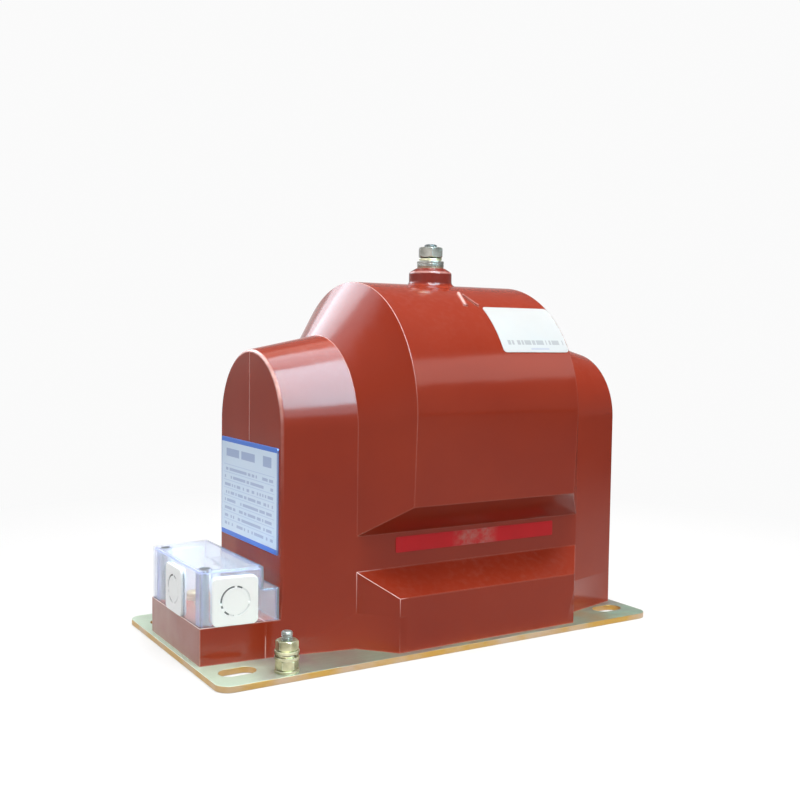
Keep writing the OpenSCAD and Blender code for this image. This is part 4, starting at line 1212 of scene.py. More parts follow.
class Fastener:
    """Turned and threaded pieces that several terminals share."""

    @staticmethod
    def washer(outer: float, bore: float, thick: float, z: float) -> Workpiece:
        """Turns a flat washer with rolled edges."""
        e = min(0.22, thick / 4)
        return Workpiece().turn([
            (bore, z + e), (bore, z + thick - e), (bore + e, z + thick), (outer - e, z + thick),
            (outer - 0.3 * e, z + thick - 0.3 * e), (outer, z + thick - e), (outer, z + e),
            (outer - 0.3 * e, z + 0.3 * e), (outer - e, z), (bore + e, z)], closed=True).tidy()

    @staticmethod
    def spring_washer(outer: float, bore: float, thick: float, z: float, turn: float, gap: float = 1.4) -> Workpiece:
        """Winds a split spring washer whose ends stand a little apart.

        Args:
            outer: Outer radius.
            bore: Inner radius.
            thick: Height that it fills.
            z: Height of its lower face.
            turn: Angle of its split, in degrees.
            gap: Width of the split.

        Returns:
            The washer as a workpiece.
        """
        work = Workpiece()
        lift = 0.34 * thick
        wide = gap / (outer + bore)
        steps = 56
        profile = [(bore, z), (outer, z), (outer, z + thick - lift), (bore, z + thick - lift)]
        edges = work.chain([Matrix.Rotation(wide, 4, "Z") @ Vector((r, 0.0, h)) for r, h in profile], closed=True)
        work.fill(edges)
        work.fill(work.spin(edges, steps, 2 * math.pi - 2 * wide, lift / steps))
        return work.place(Matrix.Diagonal((1.0, -1.0, 1.0, 1.0))).tidy().bevel(0.18, 2, 50.0).place(spin_z(turn))

    @staticmethod
    def nut(across: float, high: float, bore: float, z: float, turn: float) -> Workpiece:
        """Turns a chamfered blank and cuts six flats on it.

        Args:
            across: Width across the flats.
            high: Height of the nut.
            bore: Radius of the bore.
            z: Height of the lower face.
            turn: Angle of the hexagon, in degrees.

        Returns:
            The nut as a workpiece.
        """
        corner = across / math.sqrt(3)
        face = across * 0.475
        drop = (corner - face) * 0.58
        work = Workpiece().turn([
            (bore, z + 0.5), (bore, z + high - 0.5), (bore + 0.6, z + high), (face, z + high),
            (corner + 0.02, z + high - drop), (corner + 0.02, z + drop), (face, z), (bore + 0.6, z)], 120, closed=True)
        for k in range(6):
            way = Vector((math.cos(math.radians(60 * k + 30)), math.sin(math.radians(60 * k + 30)), 0.0))
            bmesh.ops.edgeloop_fill(work.bm, edges=work.split(way * across / 2, way, True))
        work.tidy().bevel(0.22, 2, 26.0, lambda e: all(v.co.xy.length > across * 0.47 for v in e.verts))
        return work.place(spin_z(turn))

    @staticmethod
    def thread(radius: float, pitch: float, bottom: float, top: float) -> Workpiece:
        """Winds a threaded rod with a domed free end.

        Args:
            radius: Outer radius of the thread.
            pitch: Pitch of the thread.
            bottom: Height where it starts.
            top: Height of the free end.

        Returns:
            The rod as a workpiece.
        """
        work = Workpiece()
        root = radius - 0.55 * pitch
        steps = 40
        crest = ((root, 0.0), (root, 0.12), (radius, 0.46), (radius, 0.62), (root, 0.96))
        work.spin(work.chain([(r, 0.0, bottom + k * pitch + up * pitch)
                              for k in range(int((top - bottom - 1.2 * pitch) / pitch)) for r, up in crest]),
                  steps, rise=pitch / steps)
        bmesh.ops.remove_doubles(work.bm, verts=work.bm.verts, dist=0.01)
        bmesh.ops.recalc_face_normals(work.bm, faces=work.bm.faces)
        return work.absorb(Workpiece().turn([
            (0.0, bottom), (root + 0.05, bottom), (root + 0.05, top - 1.5 * pitch), (radius - 0.12, top - 1.2 * pitch),
            (radius - 0.1, top - 0.9), (radius * 0.86, top - 0.45), (radius * 0.6, top - 0.12),
            (radius * 0.3, top - 0.02), (0.0, top)], steps).tidy())

    @staticmethod
    def slotted(head_r: float, head_h: float, shank_r: float, shank_l: float, slot_w: float,
                slot_d: float) -> Workpiece:
        """Turns a slotted screw with its head up.

        Args:
            head_r: Radius of the head.
            head_h: Height of the head.
            shank_r: Radius of the shank.
            shank_l: Length of the shank.
            slot_w: Width of the slot.
            slot_d: Depth of the slot.

        Returns:
            The screw as a workpiece.
        """
        work = Workpiece().turn([
            (0.0, -shank_l), (shank_r * 0.8, -shank_l), (shank_r, -shank_l + 0.5), (shank_r, 0.0),
            (head_r - 0.2, 0.0), (head_r, 0.2), (head_r, head_h * 0.55), (head_r * 0.97, head_h * 0.76),
            (head_r * 0.88, head_h * 0.92), (head_r * 0.72, head_h), (0.0, head_h)], 48)
        for side in (-1, 1):
            work.split((0, side * slot_w / 2, 0), (0, side, 0))
        top = [f for f in work.bm.faces if f.normal.z > 0.2 and abs(f.calc_center_median().y) < slot_w / 2
               and f.calc_center_median().z > head_h * 0.5]
        for vert in work.raise_faces(top):
            vert.co.z = head_h - slot_d
        bmesh.ops.delete(work.bm, geom=[f for f in top if f.is_valid], context="FACES_ONLY")
        return work.tidy()


@dataclass
class TopTerminal:
    """The high voltage terminal on the boss."""

    paints: Paints
    x: float = 23.2
    face_z: float = 220.0
    flange_r: float = 8.2
    flange_z: float = 218.82
    body_r: float = 6.5
    body_bottom: float = 203.0
    bore_r: float = 4.05
    stud_r: float = 4.0
    stud_bottom: float = 208.0
    stud_top: float = 234.0
    pitch: float = 1.25
    washer_r: float = 8.3
    washer_t: float = 1.6
    lug_gap: float = 0.1
    spring_r: float = 7.0
    spring_t: float = 2.2
    nut_af: float = 14.0
    nut_h: float = 6.5

    def build(self) -> None:
        """Builds the insert, stud, washers, spring washer and nut."""
        paints, home, bore = self.paints, shift(self.x, 0, 0), self.stud_r + BORE_PLAY
        insert = Workpiece().turn([
            (self.bore_r, self.body_bottom + 5.0), (self.bore_r, self.face_z - 0.4), (4.4, self.face_z),
            (self.flange_r - 0.25, self.face_z), (self.flange_r, self.face_z - 0.25), (self.flange_r, self.flange_z),
            (self.body_r, self.flange_z), (self.body_r, self.body_bottom), (0.0, self.body_bottom)]).tidy()
        # The insert takes the darker brass as painted shade under the washers.
        insert.place(home).finish("hv_insert_turned", Slot.BRASS, paints, "hv_insert", material=paints.shaded)
        stud = Fastener.thread(self.stud_r, self.pitch, self.stud_bottom, self.stud_top)
        stud.place(home).finish("hv_stud_threaded", Slot.ZINC, paints, "hv_stud", 50.0, paints.tarnished)
        low, high = (Fastener.washer(self.washer_r, bore, self.washer_t, z)
                     for z in (self.face_z, self.face_z + self.washer_t + self.lug_gap))
        low.absorb(high).place(home).finish("hv_washers_pressed", Slot.ZINC, paints, "hv_washers")
        spring_z = self.face_z + 2 * self.washer_t + self.lug_gap
        spring = Fastener.spring_washer(self.spring_r, bore, self.spring_t, spring_z, -48.0)
        spring.place(home).finish("hv_spring_washer_wound", Slot.YELLOW_ZINC, paints, "hv_spring_washer")
        nut = Fastener.nut(self.nut_af, self.nut_h, self.stud_r - THREAD_BITE, spring_z + self.spring_t, 3.0)
        nut.place(home).finish("hv_nut_forged", Slot.ZINC, paints, "hv_nut")


@dataclass
class EarthTerminal:
    """The earth stud at the front of the plate."""

    paints: Paints
    x: float = -105.5
    y: float = -66.5
    plate_t: float = 3.5
    stud_r: float = 3.0
    stud_bottom: float = 0.4
    pitch: float = 1.0
    foot_r: float = 4.5
    foot_t: float = 1.6
    top: float = 25.0
    washer_r: float = 6.5
    washer_t: float = 1.6
    spring_r: float = 5.6
    spring_t: float = 1.6
    nut_af: float = 10.6
    nut_h: float = 5.2

    def build(self) -> None:
        """Builds the stud, washers, spring washer and nuts."""
        paints, home, bore = self.paints, shift(self.x, self.y, 0), self.stud_r + BORE_PLAY
        foot = Workpiece().turn([(0.0, 0.0), (self.foot_r - 0.3, 0.0), (self.foot_r, 0.3), (self.foot_r, self.foot_t),
                                 (0.0, self.foot_t)], 48).tidy()
        stud = Fastener.thread(self.stud_r, self.pitch, self.stud_bottom, self.top).absorb(foot)
        stud.place(home).finish("earth_stud_threaded", Slot.YELLOW_ZINC, paints, "earth_stud", 50.0,
                                paints[Slot.ZINC])
        z1 = self.plate_t + self.washer_t
        z2 = z1 + self.nut_h
        z3 = z2 + self.washer_t
        z4 = z3 + self.spring_t
        z5 = z4 + self.washer_t
        low, mid, high = (Fastener.washer(self.washer_r, bore, self.washer_t, z) for z in (self.plate_t, z2, z4))
        low.absorb(mid, high).place(home).finish("earth_washers_pressed", Slot.YELLOW_ZINC, paints, "earth_washers")
        spring = Fastener.spring_washer(self.spring_r, bore, self.spring_t, z3, -62.0, 1.2)
        spring.place(home).finish("earth_spring_washer_wound", Slot.YELLOW_ZINC, paints, "earth_spring_washer")
        lower, upper = (Fastener.nut(self.nut_af, self.nut_h, self.stud_r - THREAD_BITE, z, turn)
                        for z, turn in ((z1, 42.0), (z5, 24.0)))
        lower.absorb(upper).place(home).finish("earth_nuts_forged", Slot.YELLOW_ZINC, paints, "earth_nuts")


@dataclass
class TerminalBox:
    """The clear cover with its posts, entry plates and screws."""

    paints: Paints
    end_x: float = -141.6
    step_x: float = -107.0
    right_x: float = -98.3
    end_w: float = 37.641
    slope: float = 4.5 / 44.0
    floor_z: float = 23.6
    low_z: float = 41.5
    top_z: float = 53.5
    window_z: float = 47.8
    window_w: float = 21.8
    wall: float = 1.8
    middle: tuple = (-125.0, 0.0, 40.0)
    entry_x: float = -123.0
    entry_w: float = 25.0
    entry_h: float = 25.8
    entry_corner: float = 3.0
    flange_t: float = 1.1
    gap: float = 0.1
    ring_r: float = 7.7
    ring_w: float = 1.0
    bridges: tuple = ((82.0, 94.0), (183.0, 195.0), (206.0, 220.0), (262.0, 276.0), (340.0, 352.0))
    # Degrees round the plate where the groove gets its full painted shade; elsewhere it gets a little.
    shaded_arc: tuple = (60.0, 243.0)
    post_x: float = -136.4
    post_y: float = 31.0
    post_r: float = 4.0
    hole_r: float = 1.75
    head_hole_r: float = 3.05
    rib_t: float = 1.5
    # For Fastener.slotted: head radius and height, shank radius and length, slot width and depth.
    screw: tuple = (2.8, 2.0, 1.5, 34.9, 0.9, 1.1)

    def half_width(self, x: float) -> float:
        """Returns the outer half width of the cover at a place along X."""
        return self.end_w + self.slope * (x - self.end_x)

    def skin(self) -> Workpiece:
        """Raises the walls and top of the cover as one skin and gives it its thickness."""
        work = Workpiece()
        half = self.window_w / 2
        reach = half * math.cos(math.atan(self.slope))
        front = [(x, -self.half_width(x)) for x in
                 (self.step_x, self.entry_x + reach, self.entry_x - reach, self.end_x)]
        tall = front + [(self.end_x, -half), (self.end_x, half)] + [(x, -y) for x, y in reversed(front)]
        low = [(x, side * self.half_width(x)) for side, x in
               ((-1, self.step_x), (-1, self.right_x), (1, self.right_x), (1, self.step_x))]
        for spots, levels in ((tall, (self.low_z, self.window_z, self.top_z)), (low, (self.low_z,))):
            edges = work.chain([(x, y, self.floor_z) for x, y in spots])
            for z in levels:
                edges = work.raise_edges(edges, lambda v, z=z: Vector((v.co.x, v.co.y, z)))
        bmesh.ops.remove_doubles(work.bm, verts=work.bm.verts, dist=0.001)
        step = [v for v in work.bm.verts if near(v.co.x, self.step_x)]
        work.fill([v for v in work.bm.verts if v.co.x > self.step_x - NEAR and near(v.co.z, self.low_z)])
        for low_z, high_z in ((self.low_z, self.window_z), (self.window_z, self.top_z)):
            work.fill([v for v in step if low_z - NEAR < v.co.z < high_z + NEAR])
        rim = [e for e in work.bm.edges if all(near(v.co.z, self.top_z) for v in e.verts)]
        for side in (-1, 1):
            rim += work.circle((self.post_x, side * self.post_y), self.head_hole_r)
        for vert in {v for e in rim for v in e.verts}:
            vert.co.z = self.top_z
        bmesh.ops.triangle_fill(work.bm, use_beauty=True, edges=rim)

        def is_window(face: BMFace) -> bool:
            """Says whether a face is where an entry plate goes."""
            spot = face.calc_center_median()
            in_front = abs(spot.x - self.entry_x) < reach and abs(face.normal.z) < 0.1 and abs(spot.y) > 30
            return spot.z < self.window_z and (in_front or (abs(spot.y) < half and near(spot.x, self.end_x)))

        bmesh.ops.delete(work.bm, geom=[f for f in work.bm.faces if is_window(f)], context="FACES")
        bmesh.ops.recalc_face_normals(work.bm, faces=work.bm.faces)
        roof = max(work.bm.faces, key=lambda f: f.calc_center_median().z)
        if roof.normal.dot(roof.calc_center_median() - Vector(self.middle)) < 0:
            bmesh.ops.reverse_faces(work.bm, faces=work.bm.faces)
        work.bevel(0.9, 3, 40.0)
        before = max(v.co.z for v in work.bm.verts)
        bmesh.ops.solidify(work.bm, geom=list(work.bm.faces), thickness=self.wall)
        if max(v.co.z for v in work.bm.verts) > before + 0.1:
            LOG.warning("the cover grew outwards")
        return work.tidy().bevel(0.2, 1, 60.0)

    def fixings(self) -> list[Workpiece]:
        """Turns the two screw posts and adds the ribs that join them to the end wall."""
        made = []
        low, under = self.floor_z + 0.05, self.top_z - self.wall
        size = (self.post_x - self.post_r - self.end_x + 0.6, self.rib_t, self.top_z - self.floor_z - 2.2)
        rib_spot = (self.end_x + self.wall / 2 + size[0] / 2, self.floor_z + 0.1 + size[2] / 2)
        for y in (-self.post_y, self.post_y):
            post = Workpiece().turn([(self.hole_r, low), (self.post_r - 0.3, low), (self.post_r, low + 0.3),
                                     (self.post_r, under + 0.02), (self.hole_r, under - 0.2)], 48, closed=True)
            rib = Workpiece().box(*size).bevel(0.2, 1)
            made += [post.tidy().place(shift(self.post_x, y, 0)), rib.place(shift(rib_spot[0], y, rib_spot[1]))]
        return made

    def entry_plate(self) -> Workpiece:
        """Builds one cable entry plate that faces up, with its broken knock out groove."""
        corner, half_ring = self.entry_corner, self.ring_w / 2
        flange = (self.entry_w / 2 - corner, self.entry_h / 2 - corner)
        neck = (self.window_w / 2 - 1.1, (self.window_z - self.floor_z) / 2 - 1.1)
        inner = -(self.wall + self.gap)
        top = self.gap + self.flange_t
        rings = [Ring(corner - 0.5, inner - self.flange_t, *flange), Ring(corner, inner - self.flange_t + 0.3, *flange),
                 Ring(corner, inner, *flange), Ring(1.0, inner, *neck), Ring(1.0, self.gap, *neck),
                 Ring(corner, self.gap, *flange), Ring(corner, top - 0.35, *flange),
                 Ring(corner - 0.15, top - 0.1, *flange), Ring(corner - 0.5, top, *flange)]
        rings += [Ring(radius, top - drop) for radius, drop in (
            (9.6, 0.0), (9.3, 0.0), (self.ring_r + half_ring, 0.0), (self.ring_r + half_ring - 0.08, 0.55),
            (self.ring_r - half_ring + 0.08, 0.55), (self.ring_r - half_ring, 0.0), (5.6, 0.0), (5.3, 0.12))]
        floor_rings = (12, 13)

        def angle(spot: Vector) -> float:
            """Returns the angle of a place round the plate, in degrees."""
            return math.degrees(math.atan2(spot.y, spot.x)) % 360.0

        def bridge(number: int, spot: Vector) -> Vector:
            """Leaves bridges across the groove."""
            if number in floor_rings and any(low < angle(spot) < high for low, high in self.bridges):
                spot.z = top - 0.06
            return spot

        def shade_groove(spot: Vector) -> float:
            """Returns the painted shade in the groove at a place, full on one side of the plate."""
            deep = abs(spot.xy.length - self.ring_r) < half_ring and 0 < spot.z < top - 0.3
            return (1.0 if self.shaded_arc[0] < angle(spot) < self.shaded_arc[1] else 0.18) if deep else 0.0

        return Workpiece().sweep(rings, 96, bridge).tidy().stain("groove", shade_groove)

    def entry_frames(self) -> list[Matrix]:
        """Returns where each entry plate goes, with its outward side along its local Z."""
        mid = self.floor_z + self.entry_h / 2
        tilt, side = math.atan(self.slope), self.half_width(self.entry_x)
        stand = Euler((math.pi / 2, 0, 0)).to_matrix().to_4x4()
        return [shift(x, y, mid) @ Matrix.Rotation(turn, 4, "Z") @ stand for x, y, turn in (
            (self.entry_x, -side, -tilt), (self.entry_x, side, math.pi + tilt), (self.end_x, 0, -math.pi / 2))]

    def build(self) -> None:
        """Builds the cover, its entry plates and its screws."""
        self.skin().absorb(*self.fixings()).finish("terminal_cover_moulded", Slot.COVER, self.paints, "terminal_cover")
        front, back, end = (self.entry_plate().place(frame) for frame in self.entry_frames())
        front.absorb(back, end).finish("cable_entry_plates_moulded", Slot.WHITE, self.paints, "cable_entry_plates",
                                       sharp=28.0)
        left, right = (Fastener.slotted(*self.screw).place(
            shift(self.post_x, side * self.post_y, self.top_z - 2.0) @ spin_z(25.0 * side + 12.0)) for side in (-1, 1))
        left.absorb(right).finish("cover_screws_slotted", Slot.ZINC, self.paints, "cover_screws",
                                  material=self.paints.tarnished)


@dataclass
class TerminalRow:
    """The four secondary terminals under the cover."""

    paints: Paints
    x: float = -122.0
    ys: tuple = (-21.0, -7.0, 7.0, 21.0)
    top_z: float = 24.6
    insert_r: float = 4.5
    insert_h: float = 10.0
    bore_r: float = 2.55
    bore_foot: float = 2.9
    washer_r: float = 5.0
    washer_t: float = 1.0
    screw: tuple = (4.4, 3.0, 2.5, 8.0, 1.0, 1.2)

    def build(self) -> None:
        """Builds the inserts, washers and screws."""
        top, low, r = self.top_z, self.top_z - self.insert_h, self.insert_r
        foot = low + self.bore_foot
        profile = [(self.bore_r, foot), (self.bore_r, top - 0.3), (2.9, top), (r - 0.3, top), (r, top - 0.3), (r, low),
                   (0.0, low), (0.0, foot)]
        inserts = [Workpiece().turn(profile, 48).tidy().place(shift(self.x, y, 0)) for y in self.ys]
        washers = [Fastener.washer(self.washer_r, self.bore_r + 0.2, self.washer_t, top).place(shift(self.x, y, 0))
                   for y in self.ys]
        screws = [Fastener.slotted(*self.screw).place(
            shift(self.x, y, top + self.washer_t) @ spin_z(17.5 + 35.0 * k)) for k, y in enumerate(self.ys)]
        for pieces, name, node in ((inserts, "terminal_inserts_turned", "terminal_inserts"),
                                   (washers, "terminal_washers_pressed", "terminal_washers"),
                                   (screws, "terminal_screws_slotted", "terminal_screws")):
            pieces[0].absorb(*pieces[1:]).finish(name, Slot.BRASS, self.paints, node)


@dataclass
class Markings:
    """The rating plate and the two films."""

    paints: Paints
    plate_x: float = -98.0
    plate_w: float = 79.0
    plate_h: float = 58.0
    plate_z: float = 57.8
    plate_t: float = 0.8
    label_x: float = 30.7
    label_l: float = 48.7
    label_from: float = 47.1
    label_h: float = 35.1
    label_rows: int = 28
    film: float = 0.3
    sunk: float = 0.02
    arch_r: float = 76.0
    arch_z: float = 132.5
    strip_x: float = -31.0
    strip_l: float = 114.0
    strip_z: float = 54.8
    strip_h: float = 9.0
    strip_y: float = -51.0

    @staticmethod
    def panel(w: float, h: float, thick: float, corner: float, edge: float) -> Workpiece:
        """Builds a flat panel in the XY plane with rounded corners and a rolled edge."""
        push = (w / 2 - corner, h / 2 - corner)
        rings = ((corner, 0.0), (corner, thick - edge), (corner - 0.35 * edge, thick - 0.3 * edge),
                 (corner - edge, thick), (corner - 2 * edge, thick))
        return Workpiece().sweep([Ring(radius, height, *push) for radius, height in rings], 48).tidy()

    def rating_plate(self) -> None:
        """Builds the rating plate on the left end face."""
        face = Matrix(((0, 0, -1, 0), (-1, 0, 0, 0), (0, 1, 0, 0), (0, 0, 0, 1)))
        work = self.panel(self.plate_w, self.plate_h, self.plate_t, 1.2, 0.2)
        work.place(shift(self.plate_x, 0, self.plate_z + self.plate_h / 2) @ face).finish(
            "rating_plate_printed", Slot.RATING, self.paints, "rating_plate")

    def arch_label(self) -> None:
        """Wraps the white film round the arch."""
        work = self.panel(self.label_l, self.label_h, self.film, 2.2, 0.06)
        for k in range(1, self.label_rows):
            work.split((0, -self.label_h / 2 + self.label_h * k / self.label_rows, 0), (0, 1, 0))
        for vert in work.bm.verts:
            angle = (self.label_from + self.label_h / 2 - vert.co.y) / self.arch_r
            radius = self.arch_r + vert.co.z - self.sunk
            vert.co = Vector((self.label_x + self.label_l / 2 + vert.co.x, -radius * math.sin(angle),
                              self.arch_z + radius * math.cos(angle)))
        work.finish("arch_label_film", Slot.LABEL, self.paints, "arch_label")

    def recess_strip(self) -> None:
        """Builds the red film on the wall of the front recess."""
        face = Matrix(((1, 0, 0, 0), (0, 0, -1, 0), (0, 1, 0, 0), (0, 0, 0, 1)))
        work = self.panel(self.strip_l, self.strip_h, self.film, 0.9, 0.06)
        work.place(shift(self.strip_x + self.strip_l / 2, self.strip_y, self.strip_z + self.strip_h / 2) @ face).finish(
            "recess_strip_film", Slot.STRIP, self.paints, "recess_strip")

    def build(self) -> None:
        """Builds all three."""
        self.rating_plate()
        self.arch_label()
        self.recess_strip()


@dataclass
class PlateScrews:
    """The countersunk screws under the base plate."""

    paints: Paints
    spots: tuple = Baseplate.screws
    head_r: float = 5.55
    head_h: float = 2.8
    shank_r: float = 3.0
    length: float = 10.5
    socket_r: float = 2.3
    socket_d: float = 1.9

    def screw(self) -> Workpiece:
        """Turns one screw with a hexagon socket in its head."""
        outer = Workpiece().turn([
            (self.socket_r * 0.98, 0.0), (self.head_r - 0.25, 0.0), (self.head_r, 0.25), (self.head_r - 0.1, 0.6),
            (self.shank_r, self.head_h), (self.shank_r, self.length - 0.6), (self.shank_r - 0.6, self.length),
            (0.0, self.length)], 48)
        socket = [Ring(self.socket_r * 0.9, self.socket_d), Ring(self.socket_r, self.socket_d - 0.1),
                  Ring(self.socket_r, 0.0)]
        return Workpiece().sweep(socket, 6, cap_last=False).absorb(outer).tidy()

    def build(self) -> None:
        """Builds the screws at their spots."""
        made = [self.screw().place(shift(x, y, 0)) for x, y in self.spots]
        made[0].absorb(*made[1:]).finish("plate_screws_countersunk", Slot.ZINC, self.paints, "plate_screws")


@dataclass
class CastInPieces:
    """The solids inside the casting, which keep their shapes and get their finishes."""

    paints: Paints
    slots: dict = field(default_factory=lambda: {
        "cover_inserts": Slot.BRASS, "plate_inserts": Slot.BRASS, "core_upper_half": Slot.CORE,
        "core_lower_half": Slot.CORE, "core_band": Slot.BAND, "winding_former": Slot.BOARD,
        "secondary_winding": Slot.COPPER, "insulation_sleeve": Slot.BOARD, "primary_winding": Slot.COPPER,
        "hv_lead": Slot.COPPER, "secondary_leads": Slot.COPPER, "core_earth_strap": Slot.COPPER})

    def dress(self, nodes: dict) -> None:
        """Gives each solid its material."""
        for name, slot in self.slots.items():
            mesh = nodes[name].data
            mesh.materials.clear()
            mesh.materials.append(self.paints[slot])
            LOG.info("%s: solid kept, %s", name, slot.value)


# ---------------------------------------------------------------------------
# Studio
# ---------------------------------------------------------------------------


@dataclass(frozen=True)
class Lamp:
    """One soft lamp, in metres."""

    name: str
    spot: tuple
    aim: tuple
    size: tuple
    watts: float
    colour: tuple
    reach: Reach = Reach.GLOSS

    def build(self) -> None:
        """Hangs the lamp."""
        data = bpy.data.lights.new(self.name, "AREA")
        data.shape = "RECTANGLE"
        data.size, data.size_y = self.size
        data.energy = self.watts
        data.color = self.colour
        made = add_object(self.name, data)
        made.location = self.spot
        made.visible_diffuse = self.reach is Reach.MATT
        made.visible_glossy = self.reach is Reach.GLOSS
        way = Vector(self.aim) - Vector(self.spot)
        made.rotation_euler = way.to_track_quat("-Z", "Y").to_euler()


ARCH_SPOT = (-0.075, -0.025, 0.165)
SHOULDER_SPOT = (-0.045, -0.02, 0.19)
LAMPS = (
    Lamp("overhead", (0.10, -0.15, 1.30), (0.02, 0.0, 0.12), (1.3, 1.0), 21.3, (1.0, 0.98, 0.95), Reach.MATT),
    Lamp("front", (0.15, -1.35, 0.95), (0.02, 0.0, 0.12), (1.0, 0.7), 11.2, (1.0, 0.97, 0.94), Reach.MATT),
    Lamp("left", (-1.45, 0.15, 0.70), (-0.02, 0.0, 0.12), (0.8, 0.8), 8.8, (0.95, 0.97, 0.98), Reach.MATT),
    Lamp("back", (0.5, 1.5, 1.1), (0.02, 0.0, 0.15), (1.0, 0.8), 3.5, (1.0, 1.0, 1.0), Reach.MATT),
    Lamp("window", (0.153, -0.793, 1.548), (-0.040, 0.305, 0.544), (0.7, 1.95), 128.0, (0.46, 0.84, 1.0)),
    Lamp("sill", (0.049, -1.445, 0.629), ARCH_SPOT, (0.7, 0.3), 3.6, (0.50, 0.85, 1.0)),
    Lamp("skylight", (0.260, 0.240, 1.600), ARCH_SPOT, (0.66, 0.56), 10.8, (0.62, 0.88, 1.0)),
    Lamp("zenith", (0.125, 0.820, 1.460), ARCH_SPOT, (0.75, 0.62), 2.3, (1.0, 0.78, 0.70)),
    Lamp("side window", (-0.45, -0.79, 1.35), (-0.05, -0.03, 0.12), (0.45, 0.9), 36.0, (1.0, 0.96, 0.95)),
    Lamp("rear glow", (-0.890, 1.186, 1.040), SHOULDER_SPOT, (2.9, 0.9), 25.0, (0.84, 0.90, 1.0)),
    Lamp("rear window", (-0.426, 1.402, 1.040), SHOULDER_SPOT, (0.78, 0.66), 8.0, (0.70, 0.90, 1.0)),
    Lamp("front card", (0.886, -1.02, 0.91), (0.0, -0.07, 0.16), (0.7, 0.5), 3.9, (1.0, 0.94, 0.90)),
    Lamp("left card", (-1.30, -0.11, 0.10), (-0.105, -0.066, 0.05), (0.35, 0.3), 1.4, (1.0, 1.0, 1.0)),
)


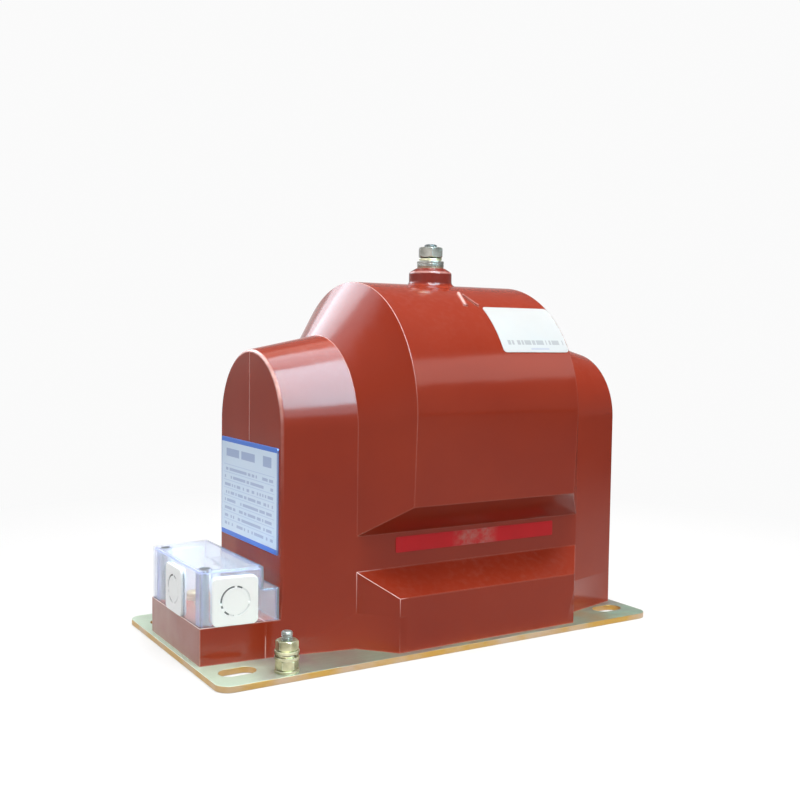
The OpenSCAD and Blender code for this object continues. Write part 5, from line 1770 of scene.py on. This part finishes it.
@dataclass
class Studio:
    """Floor, world, lamps and camera."""

    eye: tuple = (-0.3318, -0.5380, 0.1765)
    forward: tuple = (0.52647, 0.84799, -0.06169)
    right: tuple = (0.84986, -0.52670, 0.01332)
    lens: float = 46.2548
    sensor: float = 36.0
    clip: tuple = (0.01, 50.0)
    floor_size: float = 6.0
    floor_z: float = -0.0002
    white: float = 0.96
    matt: tuple = ((0.86, 0.86, 0.86), (0.90, 0.90, 0.90))
    quiet: tuple = (0.27, 0.265, 0.26)
    sky: tuple = (0.90, 0.94, 1.0)
    sky_strength: float = 0.27

    @staticmethod
    def clear_sheet(owner: object) -> Sheet:
        """Empties the node tree of a material or a world."""
        owner.use_nodes = True
        owner.node_tree.nodes.clear()
        return Sheet(owner.node_tree)

    @staticmethod
    def rays(sheet: Sheet) -> tuple[NodeSocket, NodeSocket]:
        """Returns whether a ray shows what it meets (to the camera, in gloss or through glass), and if it's gloss."""
        path = sheet.node("LightPath").outputs
        through = sheet.math("MAXIMUM", path["Is Glossy Ray"], path["Is Transmission Ray"])
        return sheet.math("MAXIMUM", path["Is Camera Ray"], through), path["Is Glossy Ray"]

    @staticmethod
    def blend(sheet: Sheet, share: NodeSocket, first: Node, second: Node) -> Node:
        """Mixes two shaders."""
        return sheet.node("MixShader", {0: share, 1: first.outputs[0], 2: second.outputs[0]})

    def floor(self) -> None:
        """Lays the pale floor, which stays white to the camera and keeps the shadow."""
        work = Workpiece()
        bmesh.ops.create_grid(work.bm, x_segments=1, y_segments=1, size=self.floor_size)
        mesh = work.mesh("floor")
        made = add_object("floor", mesh)
        made.location = (0, 0, self.floor_z)
        material = bpy.data.materials.new("pale floor")
        sheet = self.clear_sheet(material)
        seen, gloss = self.rays(sheet)
        matt = sheet.node("BsdfDiffuse", {"Color": sheet.mix(sheet.noise(sheet.coords(), 4.0, 2.0), *self.matt)})
        away = sheet.node("VectorMath", {0: sheet.coords()}, operation="LENGTH").outputs["Value"]
        x, y, _ = sheet.axes(sheet.coords())
        dim = sheet.remap(away, 0.5, 1.5, 0.0, 0.28)
        for axis, start, far, loss in ((x, 0.3, 0.9, 0.75), (y, 0.5, 1.2, 0.5)):
            dim = sheet.math("MAXIMUM", dim, sheet.remap(axis, start, far, 0.0, loss))
        glow = sheet.node("Emission", {"Color": (1, 1, 1),
                                       "Strength": sheet.math("SUBTRACT", self.white, sheet.product(gloss, dim))})
        quiet = sheet.node("BsdfDiffuse", {"Color": self.quiet})
        shown = self.blend(sheet, sheet.remap(away, 0.16, 0.55, 0.62, 1.0), matt, glow)
        sheet.node("OutputMaterial", {0: self.blend(sheet, seen, quiet, shown).outputs[0]})
        mesh.materials.append(material)

    def world(self) -> None:
        """Makes the world white to the camera and to glass, paler low down for gloss, and plain to the light."""
        world = bpy.data.worlds.new("studio")
        bpy.context.scene.world = world
        sheet = self.clear_sheet(world)
        seen, gloss = self.rays(sheet)
        plain = sheet.node("Background", {"Color": self.sky, "Strength": self.sky_strength})
        x, _, z = sheet.axes(sheet.node("TexCoord").outputs["Generated"])
        fade = sheet.product(sheet.remap(z, 0.02, 0.42, 0.85, 0.3), sheet.remap(x, 0.45, 0.85, 1.0, 0.45))
        bright = sheet.math("MAXIMUM", fade, sheet.math("SUBTRACT", self.white, gloss))
        white = sheet.node("Background", {"Color": (1, 1, 1), "Strength": bright})
        sheet.node("OutputWorld", {0: self.blend(sheet, seen, plain, white).outputs[0]})

    def camera(self) -> None:
        """Sets the camera at the place worked out from the photo."""
        data = bpy.data.cameras.new("camera")
        data.lens = self.lens
        data.sensor_width = self.sensor
        data.clip_start, data.clip_end = self.clip
        made = add_object("camera", data)
        back = -Vector(self.forward).normalized()
        right = Vector(self.right).normalized()
        up = back.cross(right).normalized()
        made.matrix_world = Matrix.Translation(self.eye) @ Matrix((right, up, back)).transposed().to_4x4()
        bpy.context.scene.camera = made

    def build(self) -> None:
        """Builds the studio."""
        self.floor()
        self.world()
        for lamp in LAMPS:
            lamp.build()
        self.camera()
        bpy.context.scene.view_settings.view_transform = "Standard"


def main() -> None:
    """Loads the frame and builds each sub-assembly in order."""
    logging.basicConfig(level=logging.INFO, format="%(message)s")
    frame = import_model()
    paints = Paints()
    Casting(paints).build()
    Baseplate(paints).build()
    TopTerminal(paints).build()
    EarthTerminal(paints).build()
    TerminalBox(paints).build()
    TerminalRow(paints).build()
    Markings(paints).build()
    PlateScrews(paints).build()
    CastInPieces(paints).dress(frame["nodes"])
    Studio().build()


if __name__ == "__main__":
    main()
